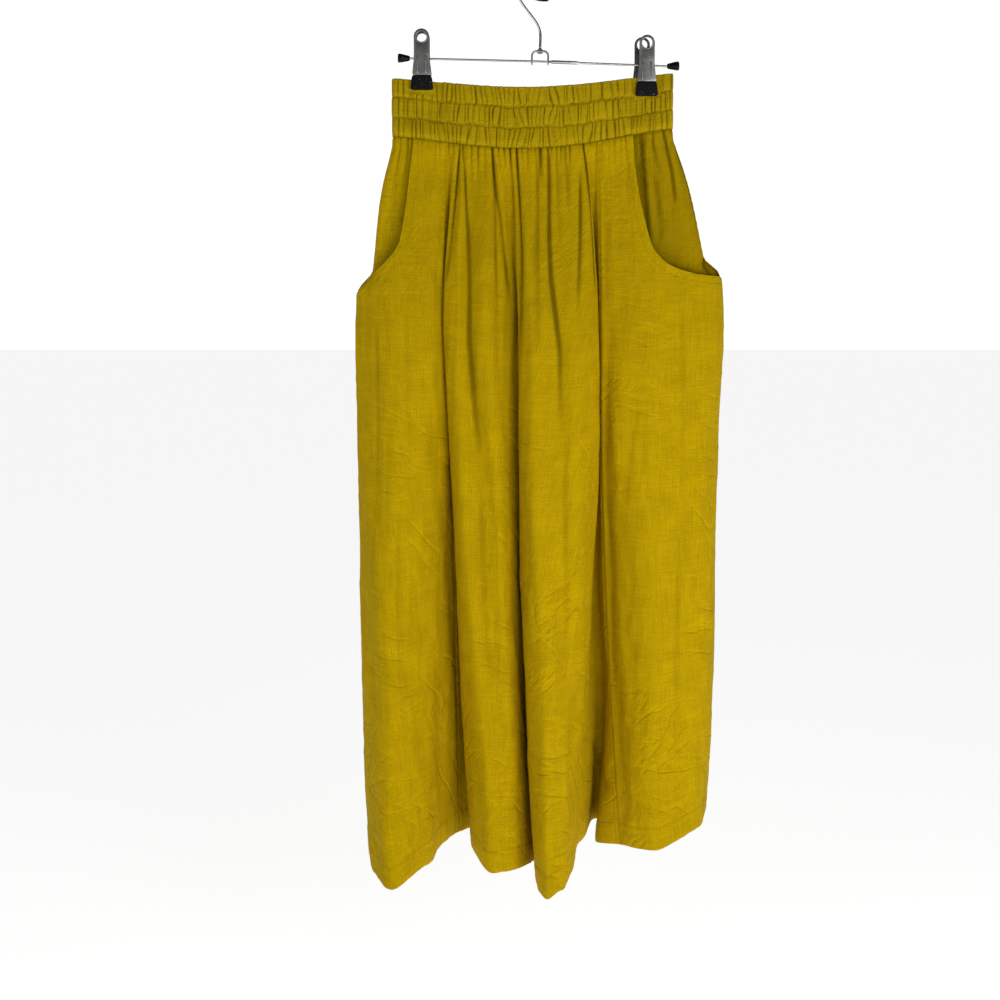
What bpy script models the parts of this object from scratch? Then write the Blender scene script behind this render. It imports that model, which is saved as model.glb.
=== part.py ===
"""Midi skirt hung by its elastic waistband from a clip hanger.

The skirt is a gathered tube of cloth: a shirred waistband in two halves, a gathered front
panel, two front side panels whose upper corners are cut away as pockets, a hip yoke behind
each pocket mouth, and one gathered back panel.  The hanger has a wire hook, a bracket, a rod
with end caps and two clips that pinch the waistband.

Metres, +Z up, +X to the viewer's right and -Y to the viewer.  The origin is the top of the
hook's inside, where it bears on a rail.  Tables are in millimetres.
"""

import math
from typing import NamedTuple

import bpy
from mathutils import Vector

MM = 0.001
NAME = "midi_skirt_on_hanger"

# ------------------------------------------------------------------ driving dimensions, mm
WALL = 1.4  # modelled thickness of the skirt's cloth
SEAM_GAP = 0.35  # clear space between two panels at a seam
HEM_LEVEL = -950.0  # mean height of the hem
SEAM_LEVEL = -190.0  # mean height of the seam under the waistband

BAND_LEFT = -157.0  # ends of the flattened waistband
BAND_RIGHT = 141.0
BAND_WALL = 3.0  # folded cloth with the elastic inside
BAND_ROWS = 3  # puffed elastic channels, one above the other
BAND_GATHERS = 46  # gathers along each half
BAND_PUFF = 1.3  # how far a channel swells between its stitch lines
BAND_GATHER = 0.8  # half height of a gather on the waistband
BAND_TOP_ENDS = (-119.6, -114.4)  # height of the waistband's top at its left and right ends
BAND_TOP_SAG = 12.0  # how far the top edge sags between the clips
BAND_SEAM_ENDS = (-182.6, -174.4)  # height of the seam under it at the same ends
BAND_SEAM_SAG = 16.5
BAND_END_RADIUS = (4.2, 6.5)  # half depth at the ends, at the top edge and at the seam
BAND_BELLY = (5.0, 5.5)  # extra half depth half way along, at the top and at the seam

BAND_DRIFT = 1.6  # how far the gathers wander sideways from row to row
GATHER_DEPTH = 1.2  # half height of the gathers under the seam
GATHER_LENGTH = 34.0  # how far down the mean gather runs before it has faded to a third
SIDE_GATHER = 0.4  # share of that depth on the front side panels, which are gathered less

CLIP_LEFT = -126.0  # where the clips grip the waistband
CLIP_RIGHT = 113.5
PINCHED = 2.1  # half depth of the waistband's middle line under a clip
PAD_WIDE = 25.0
PAD_HIGH = 15.5
PAD_THICK = 4.2
PAD_CLEAR = 0.3
PAD_FOOT = (-133.0, -139.5)  # lowest edge of the left and right pads
PLATE_LONG = 48.0
PLATE_WIDE = (16.5, 20.0)  # at the finger end and at the pad
PLATE_THICK = 0.9
PLATE_HOLE = 11.6
PLATE_NARROWS = 0.36  # share of its length at which it has narrowed to the finger end
PLATE_LEAN = math.radians(3.0)
SPRING_RADIUS = 6.1
SPRING_LONG = 13.0

ROD_RADIUS = 1.15
ROD_SLEEVE_RADIUS = 1.9
ROD_SLEEVE = (11.5, 12.0, 38.0, 43.0)  # where the rod starts to thicken, is thick, and is thin again
ROD_ENDS = (-138.4, 135.2)
ROD_HEIGHTS = (-99.2, -102.4, -107.4)  # at the left end, the bracket and the right end
CAP_LONG = 13.0
CAP_RADII = (2.7, 4.8)  # towards the rod, and at the outer end
WIRE_RADIUS = 1.4  # the hook's wire
HOOK_CAP_RADIUS = 2.3
BRACKET_WIDE = 19.2
BRACKET_TOP = -90.9
BRACKET_FOOT = -106.2
BRACKET_THICK = 1.9
BRACKET_DEEP = 6.0
BRACKET_CORNER = 5.0
STUD_RADIUS = 3.0
STUD_HEAD = 1.6  # height of the stud's head under the bracket
CLEAR = 0.3  # running clearance between the hanger's pieces

# ------------------------------------------------------------------ the folds
# Heights at which the fold tables give each fold's place.
STATIONS = (SEAM_LEVEL, -335.0, -500.0, -650.0, -800.0, HEM_LEVEL)


class Fold(NamedTuple):
    """A crest or valley of the cloth: (across, depth) at each station, and its hem's height."""

    name: str
    waist: tuple
    hip: tuple
    thigh: tuple
    knee: tuple
    calf: tuple
    hem: tuple
    hem_z: float
    cuts: int = 3  # columns of the mesh up to the next fold
    turn: float = 0  # radius of a pleat whose two sides lie close, or 0


FRONT_FOLDS = (
    Fold("left_side", (-157, 0), (-196, 0), (-198, 0), (-196, 0), (-195, -1), (-188, -6), -958, 3),
    Fold("left_round", (-151, -7), (-172, -20), (-181, -27), (-182, -38), (-182, -45), (-181, -48), -978, 3),
    Fold("left_crest", (-134, -8), (-151, -28), (-155, -43), (-157, -56), (-160, -68), (-160, -84), -986, 3),
    Fold("left_dip", (-117, -9), (-116, -25), (-117, -32), (-118, -37), (-122, -46), (-123, -60), -967, 2),
    Fold("left_flank", (-108, -10), (-108, -19), (-107, -21), (-106, -20), (-107, -19), (-105, -18), -954, 2),
    Fold("left_seam", (-100, -10), (-101, -12), (-97, -9), (-94, -3), (-91, 4), (-88, 10), -951, 2),
    Fold("pleat_a", (-96, -10), (-94, -4), (-89, 3), (-80, 12), (-72, 18), (-63, 22), -946, 3, 3.2),
    Fold("edge_a", (-92, -11), (-101, -21), (-98, -20), (-91, -15), (-84, -15), (-74, -18), -958, 3),
    Fold("crest_a", (-82, -11), (-88, -31), (-85, -42), (-76, -49), (-62, -55), (-52, -62), -975, 3),
    Fold("dip_a", (-72, -10), (-77, -25), (-65, -37), (-55, -45), (-46, -53), (-38, -63), -973, 4),
    Fold("crest_b", (-56, -12), (-56, -33), (-49, -44), (-40, -48), (-30, -52), (-22, -57), -971, 5),
    Fold("pleat_b", (-37, -11), (-21, -10), (-14, -8), (-10, -2), (-4, 2), (6, -14), -974, 3, 3.2),
    Fold("edge_b", (-29, -12), (-24, -19), (-22, -24), (-20, -28), (-13, -34), (-3, -50), -986, 4),
    Fold("crest_c", (-15, -12), (-10, -37), (-8, -54), (-2, -67), (4, -81), (8, -97), -992, 5),
    Fold("dip_c", (10, -11), (10, -32), (24, -49), (18, -63), (21, -76), (23, -88), -985, 5),
    Fold("crest_d", (32, -12), (37, -35), (42, -49), (37, -58), (33, -64), (35, -67), -972, 4),
    Fold("edge_d", (51, -11), (61, -21), (64, -26), (58, -28), (51, -30), (45, -32), -950, 3),
    Fold("pleat_d", (56, -10), (59, -5), (59, 2), (63, 13), (70, 25), (68, 32), -943, 2, 3.2),
    Fold("right_edge", (60, -10), (63, -9), (65, -5), (69, 0), (76, 4), (64, -8), -957, 2),
    Fold("right_seam", (63, -11), (65, -15), (67, -13), (72, -9), (80, -8), (90, -28), -954, 2),
    Fold("right_dip", (69, -11), (71, -17), (73, -16), (78, -13), (87, -15), (97, -35), -953, 2),
    Fold("right_rise", (77, -11), (81, -23), (84, -29), (89, -31), (98, -35), (107, -44), -953, 3),
    Fold("right_crest", (98, -10), (111, -29), (121, -42), (124, -49), (125, -51), (127, -54), -952, 4),
    Fold("right_far", (134, -7), (178, -17), (183, -24), (183, -31), (182, -35), (175, -36), -932, 4),
    Fold("right_side", (141, 0), (196, 0), (195, 0), (194, 0), (193, -1), (187, -4), -918, 3),
)
BACK_FOLDS = (
    Fold("back_far_right", (134, 7), (176, 14), (181, 22), (181, 30), (180, 37), (174, 42), -924, 3),
    Fold("back_crest_a", (112, 9), (140, 24), (142, 36), (142, 47), (140, 56), (138, 62), -932, 3),
    Fold("back_dip_a", (92, 10), (110, 18), (112, 20), (114, 20), (116, 20), (112, 22), -934, 3),
    Fold("back_crest_b", (72, 11), (84, 28), (82, 40), (84, 52), (82, 62), (80, 70), -946, 3),
    Fold("back_dip_b", (50, 10), (54, 19), (55, 24), (55, 30), (52, 38), (50, 44), -944, 3),
    Fold("back_crest_c", (28, 12), (26, 30), (28, 43), (25, 55), (27, 66), (26, 76), -952, 4),
    Fold("back_dip_c", (2, 11), (-2, 20), (-4, 24), (-2, 26), (-5, 26), (-4, 28), -950, 4),
    Fold("back_crest_d", (-24, 12), (-32, 30), (-30, 42), (-34, 54), (-32, 64), (-35, 72), -956, 3),
    Fold("back_dip_d", (-46, 11), (-56, 20), (-60, 25), (-62, 31), (-60, 38), (-60, 44), -954, 3),
    Fold("back_crest_e", (-70, 11), (-84, 28), (-88, 40), (-90, 50), (-92, 60), (-92, 68), -962, 3),
    Fold("back_dip_e", (-94, 10), (-112, 18), (-116, 20), (-118, 21), (-118, 22), (-120, 24), -960, 3),
    Fold("back_crest_f", (-118, 9), (-142, 24), (-146, 34), (-148, 42), (-148, 50), (-144, 56), -964, 3),
    Fold("back_far_left", (-150, 7), (-168, 15), (-174, 22), (-174, 30), (-174, 38), (-168, 44), -960, 3),
)
# The ring of places that the cloth passes through: a fold's side is -1 or 1 where a pleat turns.
RING = [(fold, side) for fold in FRONT_FOLDS + BACK_FOLDS for side in ((-1, 1) if fold.turn else (0,))]
PLACE = {fold.name: index for index, (fold, side) in enumerate(RING) if side != 1}
PLACE["left_side_again"] = len(RING)  # the ring closes on the left side seam

# Shares of the skirt's height at which every panel has a row of points.
ROWS = (0, 0.004, 0.014, 0.03, 0.052, 0.084, 0.125, 0.165, 0.26, 0.34, 0.44, 0.55, 0.67, 0.79, 0.9, 1)
# The side seams stand further out below the pocket's tip: (height, how much further in above it).
WING_IN = 14.0
WING_GROWS = (25.0, 125.0)  # it grows from this far below the waistband, over this length
WING_LEFT = (-322.0, -346.0)  # heights where that step starts and ends
WING_RIGHT = (-314.0, -331.0)
# Pocket mouths as (across, height) from the waistband's seam to the tip on the side seam.
RIM_LEFT = ((-134, -184), (-146, -288), (-155, -306), (-166, -317), (-181, -331), (-196, -347))
RIM_RIGHT = (
    (98, -181), (101, -224), (106, -250), (112, -276), (118, -298),
    (125, -308), (136, -318), (150, -324), (170, -329), (197, -331),
)
# Where the panels beside a pocket have their columns, as shares of the way to the next fold.
RIM_CUTS = {
    "left_side": (0, 0.3, 0.65),
    "left_round": (0, 0.35, 0.65, 0.92),
    "right_crest": (0, 0.05, 0.13, 0.23, 0.36, 0.55, 0.78),
    "right_far": (0, 0.3, 0.65),
}
YOKE_LAP = 22.0  # how far the yoke runs on behind the side panel at the waist
YOKE_FOOT = -432.0  # bottom of the pocket
YOKE_BEHIND = 1.9  # how far the yoke lies behind the waistband's middle line at the seam
YOKE_BACK = 7.5  # how far forward of the side seams it lies lower down
YOKE_INSET = 10.0  # how far inside the side seam its edge runs below the pocket's tip
YOKE_TUCK = 18.0  # height over which its edge leaves the side seam above the pocket's tip
YOKE_COLUMNS = 7
YOKE_ROWS = (0, 0.03, 0.1, 0.2, 0.34, 0.46, 0.52, 0.56, 0.6, 0.64, 0.7, 0.84, 1)

# ------------------------------------------------------------------ finishes
COLOURS = {
    "cloth": ((0.41, 0.28, 0.012), 0.85, 0.0),
    "band": ((0.30, 0.21, 0.012), 0.85, 0.0),
    "steel": ((0.42, 0.42, 0.42), 0.28, 1.0),
    "rubber": ((0.012, 0.012, 0.014), 0.55, 0.0),
}


def material(kind):
    """The shared material of one kind."""
    found = bpy.data.materials.get(kind)
    if found:
        return found
    colour, roughness, metallic = COLOURS[kind]
    made = bpy.data.materials.new(kind)
    made.use_nodes = True
    shader = made.node_tree.nodes["Principled BSDF"]
    shader.inputs["Base Color"].default_value = (*colour, 1)
    shader.inputs["Roughness"].default_value = roughness
    shader.inputs["Metallic"].default_value = metallic
    return made


# ------------------------------------------------------------------ small maths
def mix(a, b, t):
    """The value a share t of the way from a to b."""
    return a + (b - a) * t


def smooth(t):
    """A soft step from 0 to 1."""
    t = min(max(t, 0.0), 1.0)
    return t * t * (3 - 2 * t)


def uneven(number):
    """A fixed value from 0 to 1 that looks random for each whole number."""
    return math.sin(number * 12.9898 + 4.1) * 43758.5453 % 1.0


def along(stops, values, at):
    """A smooth curve through values at falling stops, read at one place."""
    at = min(max(at, stops[-1]), stops[0])
    n = next(i for i in range(len(stops) - 1) if at >= stops[i + 1])
    span = stops[n + 1] - stops[n]

    def slope(i):
        low, high = max(i - 1, 0), min(i + 1, len(stops) - 1)
        return (values[high] - values[low]) / (stops[high] - stops[low])

    t = (at - stops[n]) / span
    bend = (1 - t) * (values[n + 1] - values[n] - slope(n) * span)
    bend -= t * (values[n + 1] - values[n] - slope(n + 1) * span)
    ease = 1.0 if n else 0.5  # the first span is kept straighter, so the cloth leaves the seam evenly
    return mix(values[n], values[n + 1], t) - t * (1 - t) * bend * ease


def through(before, start, end, after, t):
    """A point between start and end on the centripetal curve through four points in plan."""
    points = (before, start, end, after)
    knots = [0.0]
    for a, b in zip(points, points[1:]):
        knots.append(knots[-1] + max(math.dist(a, b), 1e-6) ** 0.5)
    at = mix(knots[1], knots[2], t)

    def blend(p, q, low, high):
        share = (at - low) / (high - low)
        return (mix(p[0], q[0], share), mix(p[1], q[1], share))

    one = [blend(points[i], points[i + 1], knots[i], knots[i + 1]) for i in range(3)]
    two = [blend(one[i], one[i + 1], knots[i], knots[i + 2]) for i in range(2)]
    return blend(two[0], two[1], knots[1], knots[2])


# ------------------------------------------------------------------ the waistband's line
def sag(x):
    """How much of the full sag the waistband has at x: none at the ends, all half way."""
    share = (x - BAND_LEFT) / (BAND_RIGHT - BAND_LEFT)
    return math.sin(math.pi * min(max(share, 0.0), 1.0)) ** 1.3


def edge_height(x, ends, drop):
    """Height of a sagging edge at x, between its two ends."""
    share = (x - BAND_LEFT) / (BAND_RIGHT - BAND_LEFT)
    return mix(ends[0], ends[1], min(max(share, 0.0), 1.0)) - drop * sag(x)


def seam_height(x):
    """Height of the seam between waistband and skirt."""
    return edge_height(x, BAND_SEAM_ENDS, BAND_SEAM_SAG)


def top_height(x):
    """Height of the waistband's top edge."""
    return edge_height(x, BAND_TOP_ENDS, BAND_TOP_SAG)


def grip(x, down):
    """How hard the clips pinch the waistband at x, a share down of its height from the top."""
    near = min(abs(x - CLIP_LEFT), abs(x - CLIP_RIGHT))
    flat = PAD_WIDE / 2 + 1.5
    across = 1 - smooth((near - flat) / 14)
    return across * (1 - smooth((down - 0.42) / 0.5))


def half_depth(x, down):
    """Half the waistband's depth, from its middle plane to its middle line."""
    share = (x - BAND_LEFT) / (BAND_RIGHT - BAND_LEFT)
    belly = math.sin(math.pi * min(max(share, 0.0), 1.0))
    free = mix(*BAND_END_RADIUS, down) + mix(*BAND_BELLY, down) * belly
    return mix(free, PINCHED, grip(x, down))


# ------------------------------------------------------------------ the skirt's surface
def wing(fold, height):
    """How far a side seam lies further in above the pocket's tip."""
    steps = {"left_side": (WING_LEFT, 1), "right_side": (WING_RIGHT, -1)}
    if fold.name not in steps:
        return 0.0
    (start, end), sign = steps[fold.name]
    rise = 1 - smooth((height - start) / (end - start))
    return sign * WING_IN * rise * smooth((SEAM_LEVEL - height - WING_GROWS[0]) / WING_GROWS[1])


def fold_place(fold, height):
    """A fold's place in plan at a height."""
    places = fold[1:7]
    x = along(STATIONS, [p[0] for p in places], height)
    y = along(STATIONS, [p[1] for p in places], height)
    return Vector((x + wing(fold, height), y))


def knot(index, v):
    """One place of the ring in plan, a share v of the way down from the seam to the hem."""
    fold, side = RING[index % len(RING)]
    height = mix(SEAM_LEVEL, HEM_LEVEL, max(v - ROWS[1], 0.0))
    place = fold_place(fold, height)
    if side:
        before = fold_place(RING[(index - (2 if side > 0 else 1)) % len(RING)][0], height)
        after = fold_place(RING[(index + (1 if side > 0 else 2)) % len(RING)][0], height)
        along_line = (place - before).normalized() + (after - place).normalized()
        near = min((place - before).length, (after - place).length)
        place += side * min(fold.turn, near * 0.3) * along_line.normalized()
    return tuple(place)


def plan(k, v):
    """The point of the cloth's middle in plan, at place k along the ring of folds."""
    n = math.floor(k)
    return through(*(knot(n + step, v) for step in (-1, 0, 1, 2)), k - n)


def outward(k, v):
    """Unit vector in plan, out of the skirt at that place."""
    step = 0.02
    a, b = plan(k - step, v), plan(k + step, v)
    long = math.dist(a, b)
    return ((b[1] - a[1]) / long, (a[0] - b[0]) / long)


def surface(k, v, lift=0.0):
    """A point of the skirt, lifted out of the cloth's middle by some millimetres."""
    x, y = plan(k, v)
    n = math.floor(k)
    hem = mix(RING[n % len(RING)][0].hem_z, RING[(n + 1) % len(RING)][0].hem_z, smooth(k - n))
    top = seam_height(plan(k, 0)[0]) - SEAM_GAP - SEAM_LEVEL
    height = mix(SEAM_LEVEL, HEM_LEVEL, v) + top * (1 - v) ** 4 + (hem - HEM_LEVEL) * v ** 2
    if lift:
        out = outward(k, v)
        x, y = x + out[0] * lift, y + out[1] * lift
    return (x, y, height)


def gather(column, v, fade=1.0):
    """Height of the gathers under the seam: each second column is a crest, each other a valley."""
    long = GATHER_LENGTH * (0.45 + 1.5 * uneven(column // 2))
    down = v * (SEAM_LEVEL - HEM_LEVEL)
    side = 1 if column % 2 else -1
    return side * GATHER_DEPTH * fade * (0.7 + 0.5 * uneven(column)) * math.exp(-down / long)


def columns(first, last):
    """Places along the ring for a panel's columns, from its first seam to its last."""
    start, end = PLACE[first], PLACE[last]
    places = []
    for n in range(start, end):
        fold, _ = RING[n % len(RING)]
        shares = RIM_CUTS.get(fold.name) or [i / fold.cuts for i in range(fold.cuts)]
        places += [n + share for share in shares]
    return places + [float(end)]


def drawn_back(k, towards, v):
    """Place along the ring half a seam's gap away from k."""
    step = math.copysign(0.01, towards - k)
    speed = math.dist(plan(k, v), plan(k + step, v)) / abs(step)
    return k + math.copysign(SEAM_GAP / 2 / speed, towards - k)


# ------------------------------------------------------------------ objects
def collection(title):
    """A collection of the scene."""
    made = bpy.data.collections.new(title)
    bpy.context.scene.collection.children.link(made)
    return made


def add(name, data, kind):
    """An object of the skirt with its material."""
    made = bpy.data.objects.new(name, data)
    PARTS.objects.link(made)
    data.materials.append(material(kind))
    return made


def mesh_of(name, points, faces):
    """A mesh from points in millimetres."""
    mesh = bpy.data.meshes.new(name)
    mesh.from_pydata([Vector(p) * MM for p in points], [], faces)
    mesh.update()
    return mesh


def cloth(name, outer, inner, faces, kind="cloth"):
    """A sheet of cloth as a closed wall between its outer and inner points."""
    count = len(outer)
    shell = [tuple(face) for face in faces]
    shell += [tuple(count + n for n in reversed(face)) for face in faces]
    sides = {(face[n - 1], face[n]) for face in faces for n in range(len(face))}
    shell += [(b, a, count + a, count + b) for a, b in sorted(sides) if (b, a) not in sides]
    made = add(name, mesh_of(name, [*outer, *inner], shell), kind)
    made.data.shade_smooth()
    made.data.set_sharp_from_angle(angle=math.radians(50))
    return made


def strips(lists):
    """Faces between neighbouring columns of points, some of which start lower than others.

    Each column is a list of (row, point number) from its top down.
    """
    faces = []
    for left, right in zip(lists, lists[1:]):
        a, b = 0, 0
        while a + 1 < len(left) or b + 1 < len(right):
            next_left = left[a + 1][0] if a + 1 < len(left) else math.inf
            next_right = right[b + 1][0] if b + 1 < len(right) else math.inf
            if next_left == next_right:
                faces.append((left[a][1], left[a + 1][1], right[b + 1][1]))
                faces.append((left[a][1], right[b + 1][1], right[b][1]))
                a, b = a + 1, b + 1
            elif next_left < next_right:
                faces.append((left[a][1], left[a + 1][1], right[b][1]))
                a += 1
            else:
                faces.append((left[a][1], right[b + 1][1], right[b][1]))
                b += 1
    return faces


def rim_height(rim, x):
    """Height of a pocket's mouth at x, outside the rim's own corner."""
    points = sorted(rim)
    x = min(max(x, points[0][0]), points[-1][0])
    for (x0, z0), (x1, z1) in zip(points, points[1:]):
        if x <= x1:
            return mix(z0, z1, (x - x0) / (x1 - x0))
    return points[-1][1]


def rim_share(k, rim):
    """Share of the height at which the column at k leaves the pocket's mouth."""
    low, high = 0.0, 1.0
    for _ in range(40):
        middle = (low + high) / 2
        x, _, z = surface(k, middle)
        if z > rim_height(rim, x):
            low = middle
        else:
            high = middle
    return high


def rows_with_tips():
    """The shares of height of every row, with one at each pocket's tip on its side seam."""
    tips = [rim_share(PLACE["left_side"], RIM_LEFT), rim_share(PLACE["right_side"], RIM_RIGHT)]
    return sorted([*ROWS, *tips])


def panel(name, first, last, gathers=1.0, rim=None, rim_from=None, rim_to=None):
    """One panel of the skirt, from fold to fold, cut along a pocket's rim where it has one."""
    places = columns(first, last)
    levels = rows_with_tips()
    outer, inner, lists = [], [], []
    for column, k in enumerate(places):
        cut = 0.0
        if rim and rim_from <= k <= rim_to:
            cut = rim_share(k, rim)
        rows = [(-1, cut)] if cut else []
        rows += [(row, v) for row, v in enumerate(levels) if v > cut + 0.004 or not cut]
        ends = column in (0, len(places) - 1)
        chain = []
        for row, v in rows:
            place = drawn_back(k, places[1] if column == 0 else places[-2], v) if ends else k
            lift = 0 if ends else gather(column, v, gathers)
            chain.append((row, len(outer)))
            outer.append(surface(place, v, lift + WALL / 2))
            inner.append(surface(place, v, lift - WALL / 2))
        lists.append(chain)
    return cloth(name, outer, inner, strips(lists))


def yoke_row(side, rim, share):
    """One row of a yoke's middle points, from the side seam inwards."""
    sign = -1 if side == "left_side" else 1
    corner = rim[0][0]
    height = mix(seam_height(corner), YOKE_FOOT, share)
    v = max((SEAM_LEVEL - height) / (SEAM_LEVEL - HEM_LEVEL), 0.0)
    tucked = smooth((rim[-1][1] + YOKE_TUCK - height) / YOKE_TUCK)
    side_x = plan(PLACE[side], v)[0] - sign * YOKE_INSET * tucked
    inner_x = corner - sign * YOKE_LAP
    back = mix(half_depth(corner, 1) - YOKE_BEHIND, YOKE_BACK, smooth(share * 2.5))
    row = []
    for column in range(YOKE_COLUMNS + 1):
        t = column / YOKE_COLUMNS
        x = mix(side_x, inner_x, t ** 1.4)
        bow = 1 - (1 - min(t * 2.2, 1.0)) ** 2.4
        gap = 0 if t else SEAM_GAP / 2
        row.append((x, -back * bow - gap, mix(seam_height(x) - SEAM_GAP, YOKE_FOOT, share)))
    return row


def yoke(name, side, rim):
    """Hip yoke: it shows in the pocket's mouth and runs down behind it as the pocket's back."""
    sign = -1 if side == "left_side" else 1
    outer, inner = [], []
    for share in YOKE_ROWS:
        row = yoke_row(side, rim, share)
        for n, (x, y, z) in enumerate(row):
            before, after = row[max(n - 1, 0)], row[min(n + 1, YOKE_COLUMNS)]
            long = math.dist(before[:2], after[:2])
            out_x, out_y = (before[1] - after[1]) / long * sign, (after[0] - before[0]) / long * sign
            if n == 0 and z > rim[-1][1]:
                out_x, out_y = outward(PLACE[side], (SEAM_LEVEL - z) / (SEAM_LEVEL - HEM_LEVEL))
            outer.append((x + out_x * WALL / 2, y + out_y * WALL / 2, z))
            inner.append((x - out_x * WALL / 2, y - out_y * WALL / 2, z))
    wide = YOKE_COLUMNS + 1
    faces = []
    for row in range(len(YOKE_ROWS) - 1):
        for column in range(YOKE_COLUMNS):
            n = row * wide + column
            corners = (n, n + wide, n + wide + 1, n + 1) if sign < 0 else (n, n + 1, n + wide + 1, n + wide)
            faces += [corners[:3], (corners[0], corners[2], corners[3])]
    return cloth(name, outer, inner, faces)


def band_line(share, down):
    """A point on the waistband's middle line, as (x, y, outward x, outward y).

    The line runs round the left end, along the front and round the right end.
    """
    radius = mix(*BAND_END_RADIUS, down)
    turn = math.pi / 2 * radius
    straight = BAND_RIGHT - BAND_LEFT - 2 * radius
    at = share * (straight + 2 * turn)
    if at < turn or at > turn + straight:
        left = at < turn
        angle = at / radius if left else (turn + straight + turn - at) / radius
        centre = BAND_LEFT + radius if left else BAND_RIGHT - radius
        sign = -1 if left else 1
        out = (sign * math.cos(angle), -math.sin(angle))
        return (centre + out[0] * radius, out[1] * radius, *out)
    x = BAND_LEFT + radius + at - turn
    return (x, -half_depth(x, down), 0.0, -1.0)


def band_half(name, back):
    """Half of the waistband: puffed, gathered channels over a plain inner wall."""
    across = 2 * BAND_GATHERS
    down = 2 * BAND_ROWS
    trim = SEAM_GAP / 2 / (BAND_RIGHT - BAND_LEFT)
    outer, inner = [], []
    for row in range(down + 1):
        level = row / down
        for column in range(across + 1):
            share = mix(trim, 1 - trim, column / across)
            x, y, out_x, out_y = band_line(share, level)
            x += BAND_DRIFT * math.sin(row * 1.7 + column * 0.35) * math.sin(math.pi * share)
            z = mix(top_height(x), seam_height(x) + SEAM_GAP / 2, level)
            held = grip(x, level)
            puff = BAND_PUFF if row % 2 else 0.15
            wave = (1 if column % 2 else -1) * (0.6 + 0.6 * uneven(column // 2 + 50 * (row // 2)))
            ends = smooth(min(share, 1 - share) / 0.02)
            lift = BAND_WALL / 2 + (puff + wave * BAND_GATHER * ends) * (1 - held)
            outer.append((x + out_x * lift, y + out_y * lift, z))
            inner.append((x - out_x * BAND_WALL / 2, y - out_y * BAND_WALL / 2, z))
    wide = across + 1
    faces = []
    for row in range(down):
        for column in range(across):
            n = row * wide + column
            faces.append((n, n + wide, n + wide + 1, n + 1))
    first_in = len(outer)
    foot = down * wide
    points = outer + inner[:wide] + inner[foot:]
    for n in range(across):
        top, low = first_in + n, first_in + wide + n
        faces.append((top, top + 1, low + 1, low))
        faces.append((n, n + 1, top + 1, top))
        faces.append((foot + n + 1, foot + n, low, low + 1))
    left_edge = [row * wide for row in range(down + 1)]
    right_edge = [row * wide + across for row in range(down + 1)]
    faces.append([first_in, first_in + wide] + left_edge[::-1])
    faces.append([first_in + wide + across, first_in + across] + right_edge)
    if back:
        points = [(x, -y, z) for x, y, z in points]
        faces = [face[::-1] for face in faces]
    made = add(name, mesh_of(name, points, faces), "band")
    made.data.shade_smooth()
    return made


# ------------------------------------------------------------------ the hanger
HOOK_PATH = (  # (across, height) of the wire's middle, from the stud up and round the rail
    (0, -88.0), (0, -72), (-3.5, -63), (-20.5, -40), (-25.5, -27), (-24, -12), (-14, -2),
    (0, 1.4), (14, -2), (22.5, -13), (22.5, -26), (14, -36), (9, -37.6),
)
HOOK_CAP_PATH = ((8.7, -37.6), (4, -37.9), (-1, -37.4), (-6, -36.2))


def wire(name, points, radius, kind, radii=None, sides=2):
    """A round wire along points in millimetres, with filled ends."""
    curve = bpy.data.curves.new(name, "CURVE")
    curve.dimensions = "3D"
    curve.bevel_depth = radius * MM
    curve.bevel_resolution = sides
    curve.use_fill_caps = True
    line = curve.splines.new("POLY")
    line.points.add(len(points) - 1)
    for n, point in enumerate(points):
        line.points[n].co = (*(Vector(point) * MM), 1)
        line.points[n].radius = radii[n] if radii else 1.0
    return add(name, curve, kind)


def rounded_path(points, cuts):
    """Points of a smooth curve through (across, height) points, in the plane of the hanger."""
    first, last = points[0], points[-1]
    before = (2 * first[0] - points[1][0], 2 * first[1] - points[1][1])
    after = (2 * last[0] - points[-2][0], 2 * last[1] - points[-2][1])
    all_points = (before, *points, after)
    path = []
    for n in range(len(points) - 1):
        for cut in range(cuts):
            path.append(through(*all_points[n:n + 4], cut / cuts))
    path.append(last)
    return [(x, 0, z) for x, z in path]


def turned(name, profile, centre, axis, kind, steps=16):
    """A turned piece: a closed (radius, along) profile spun round an axis through centre."""
    made = add(name, mesh_of(name, [(r, 0, h) for r, h in profile], []), kind)
    made.data.edges.add(len(profile))
    for n, edge in enumerate(made.data.edges):
        edge.vertices = (n, (n + 1) % len(profile))
    spin = made.modifiers.new("spin", "SCREW")
    spin.steps = spin.render_steps = steps
    spin.axis = "Z"
    spin.use_merge_vertices = True
    spin.merge_threshold = 0.00005
    made.location = Vector(centre) * MM
    made.rotation_mode = "QUATERNION"
    made.rotation_quaternion = Vector((0, 0, 1)).rotation_difference(Vector(axis))
    return made


def rod_height(x):
    """Height of the rod's middle at x."""
    left, middle, right = ROD_HEIGHTS
    return mix(middle, left, x / ROD_ENDS[0]) if x < 0 else mix(middle, right, x / ROD_ENDS[1])


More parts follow.
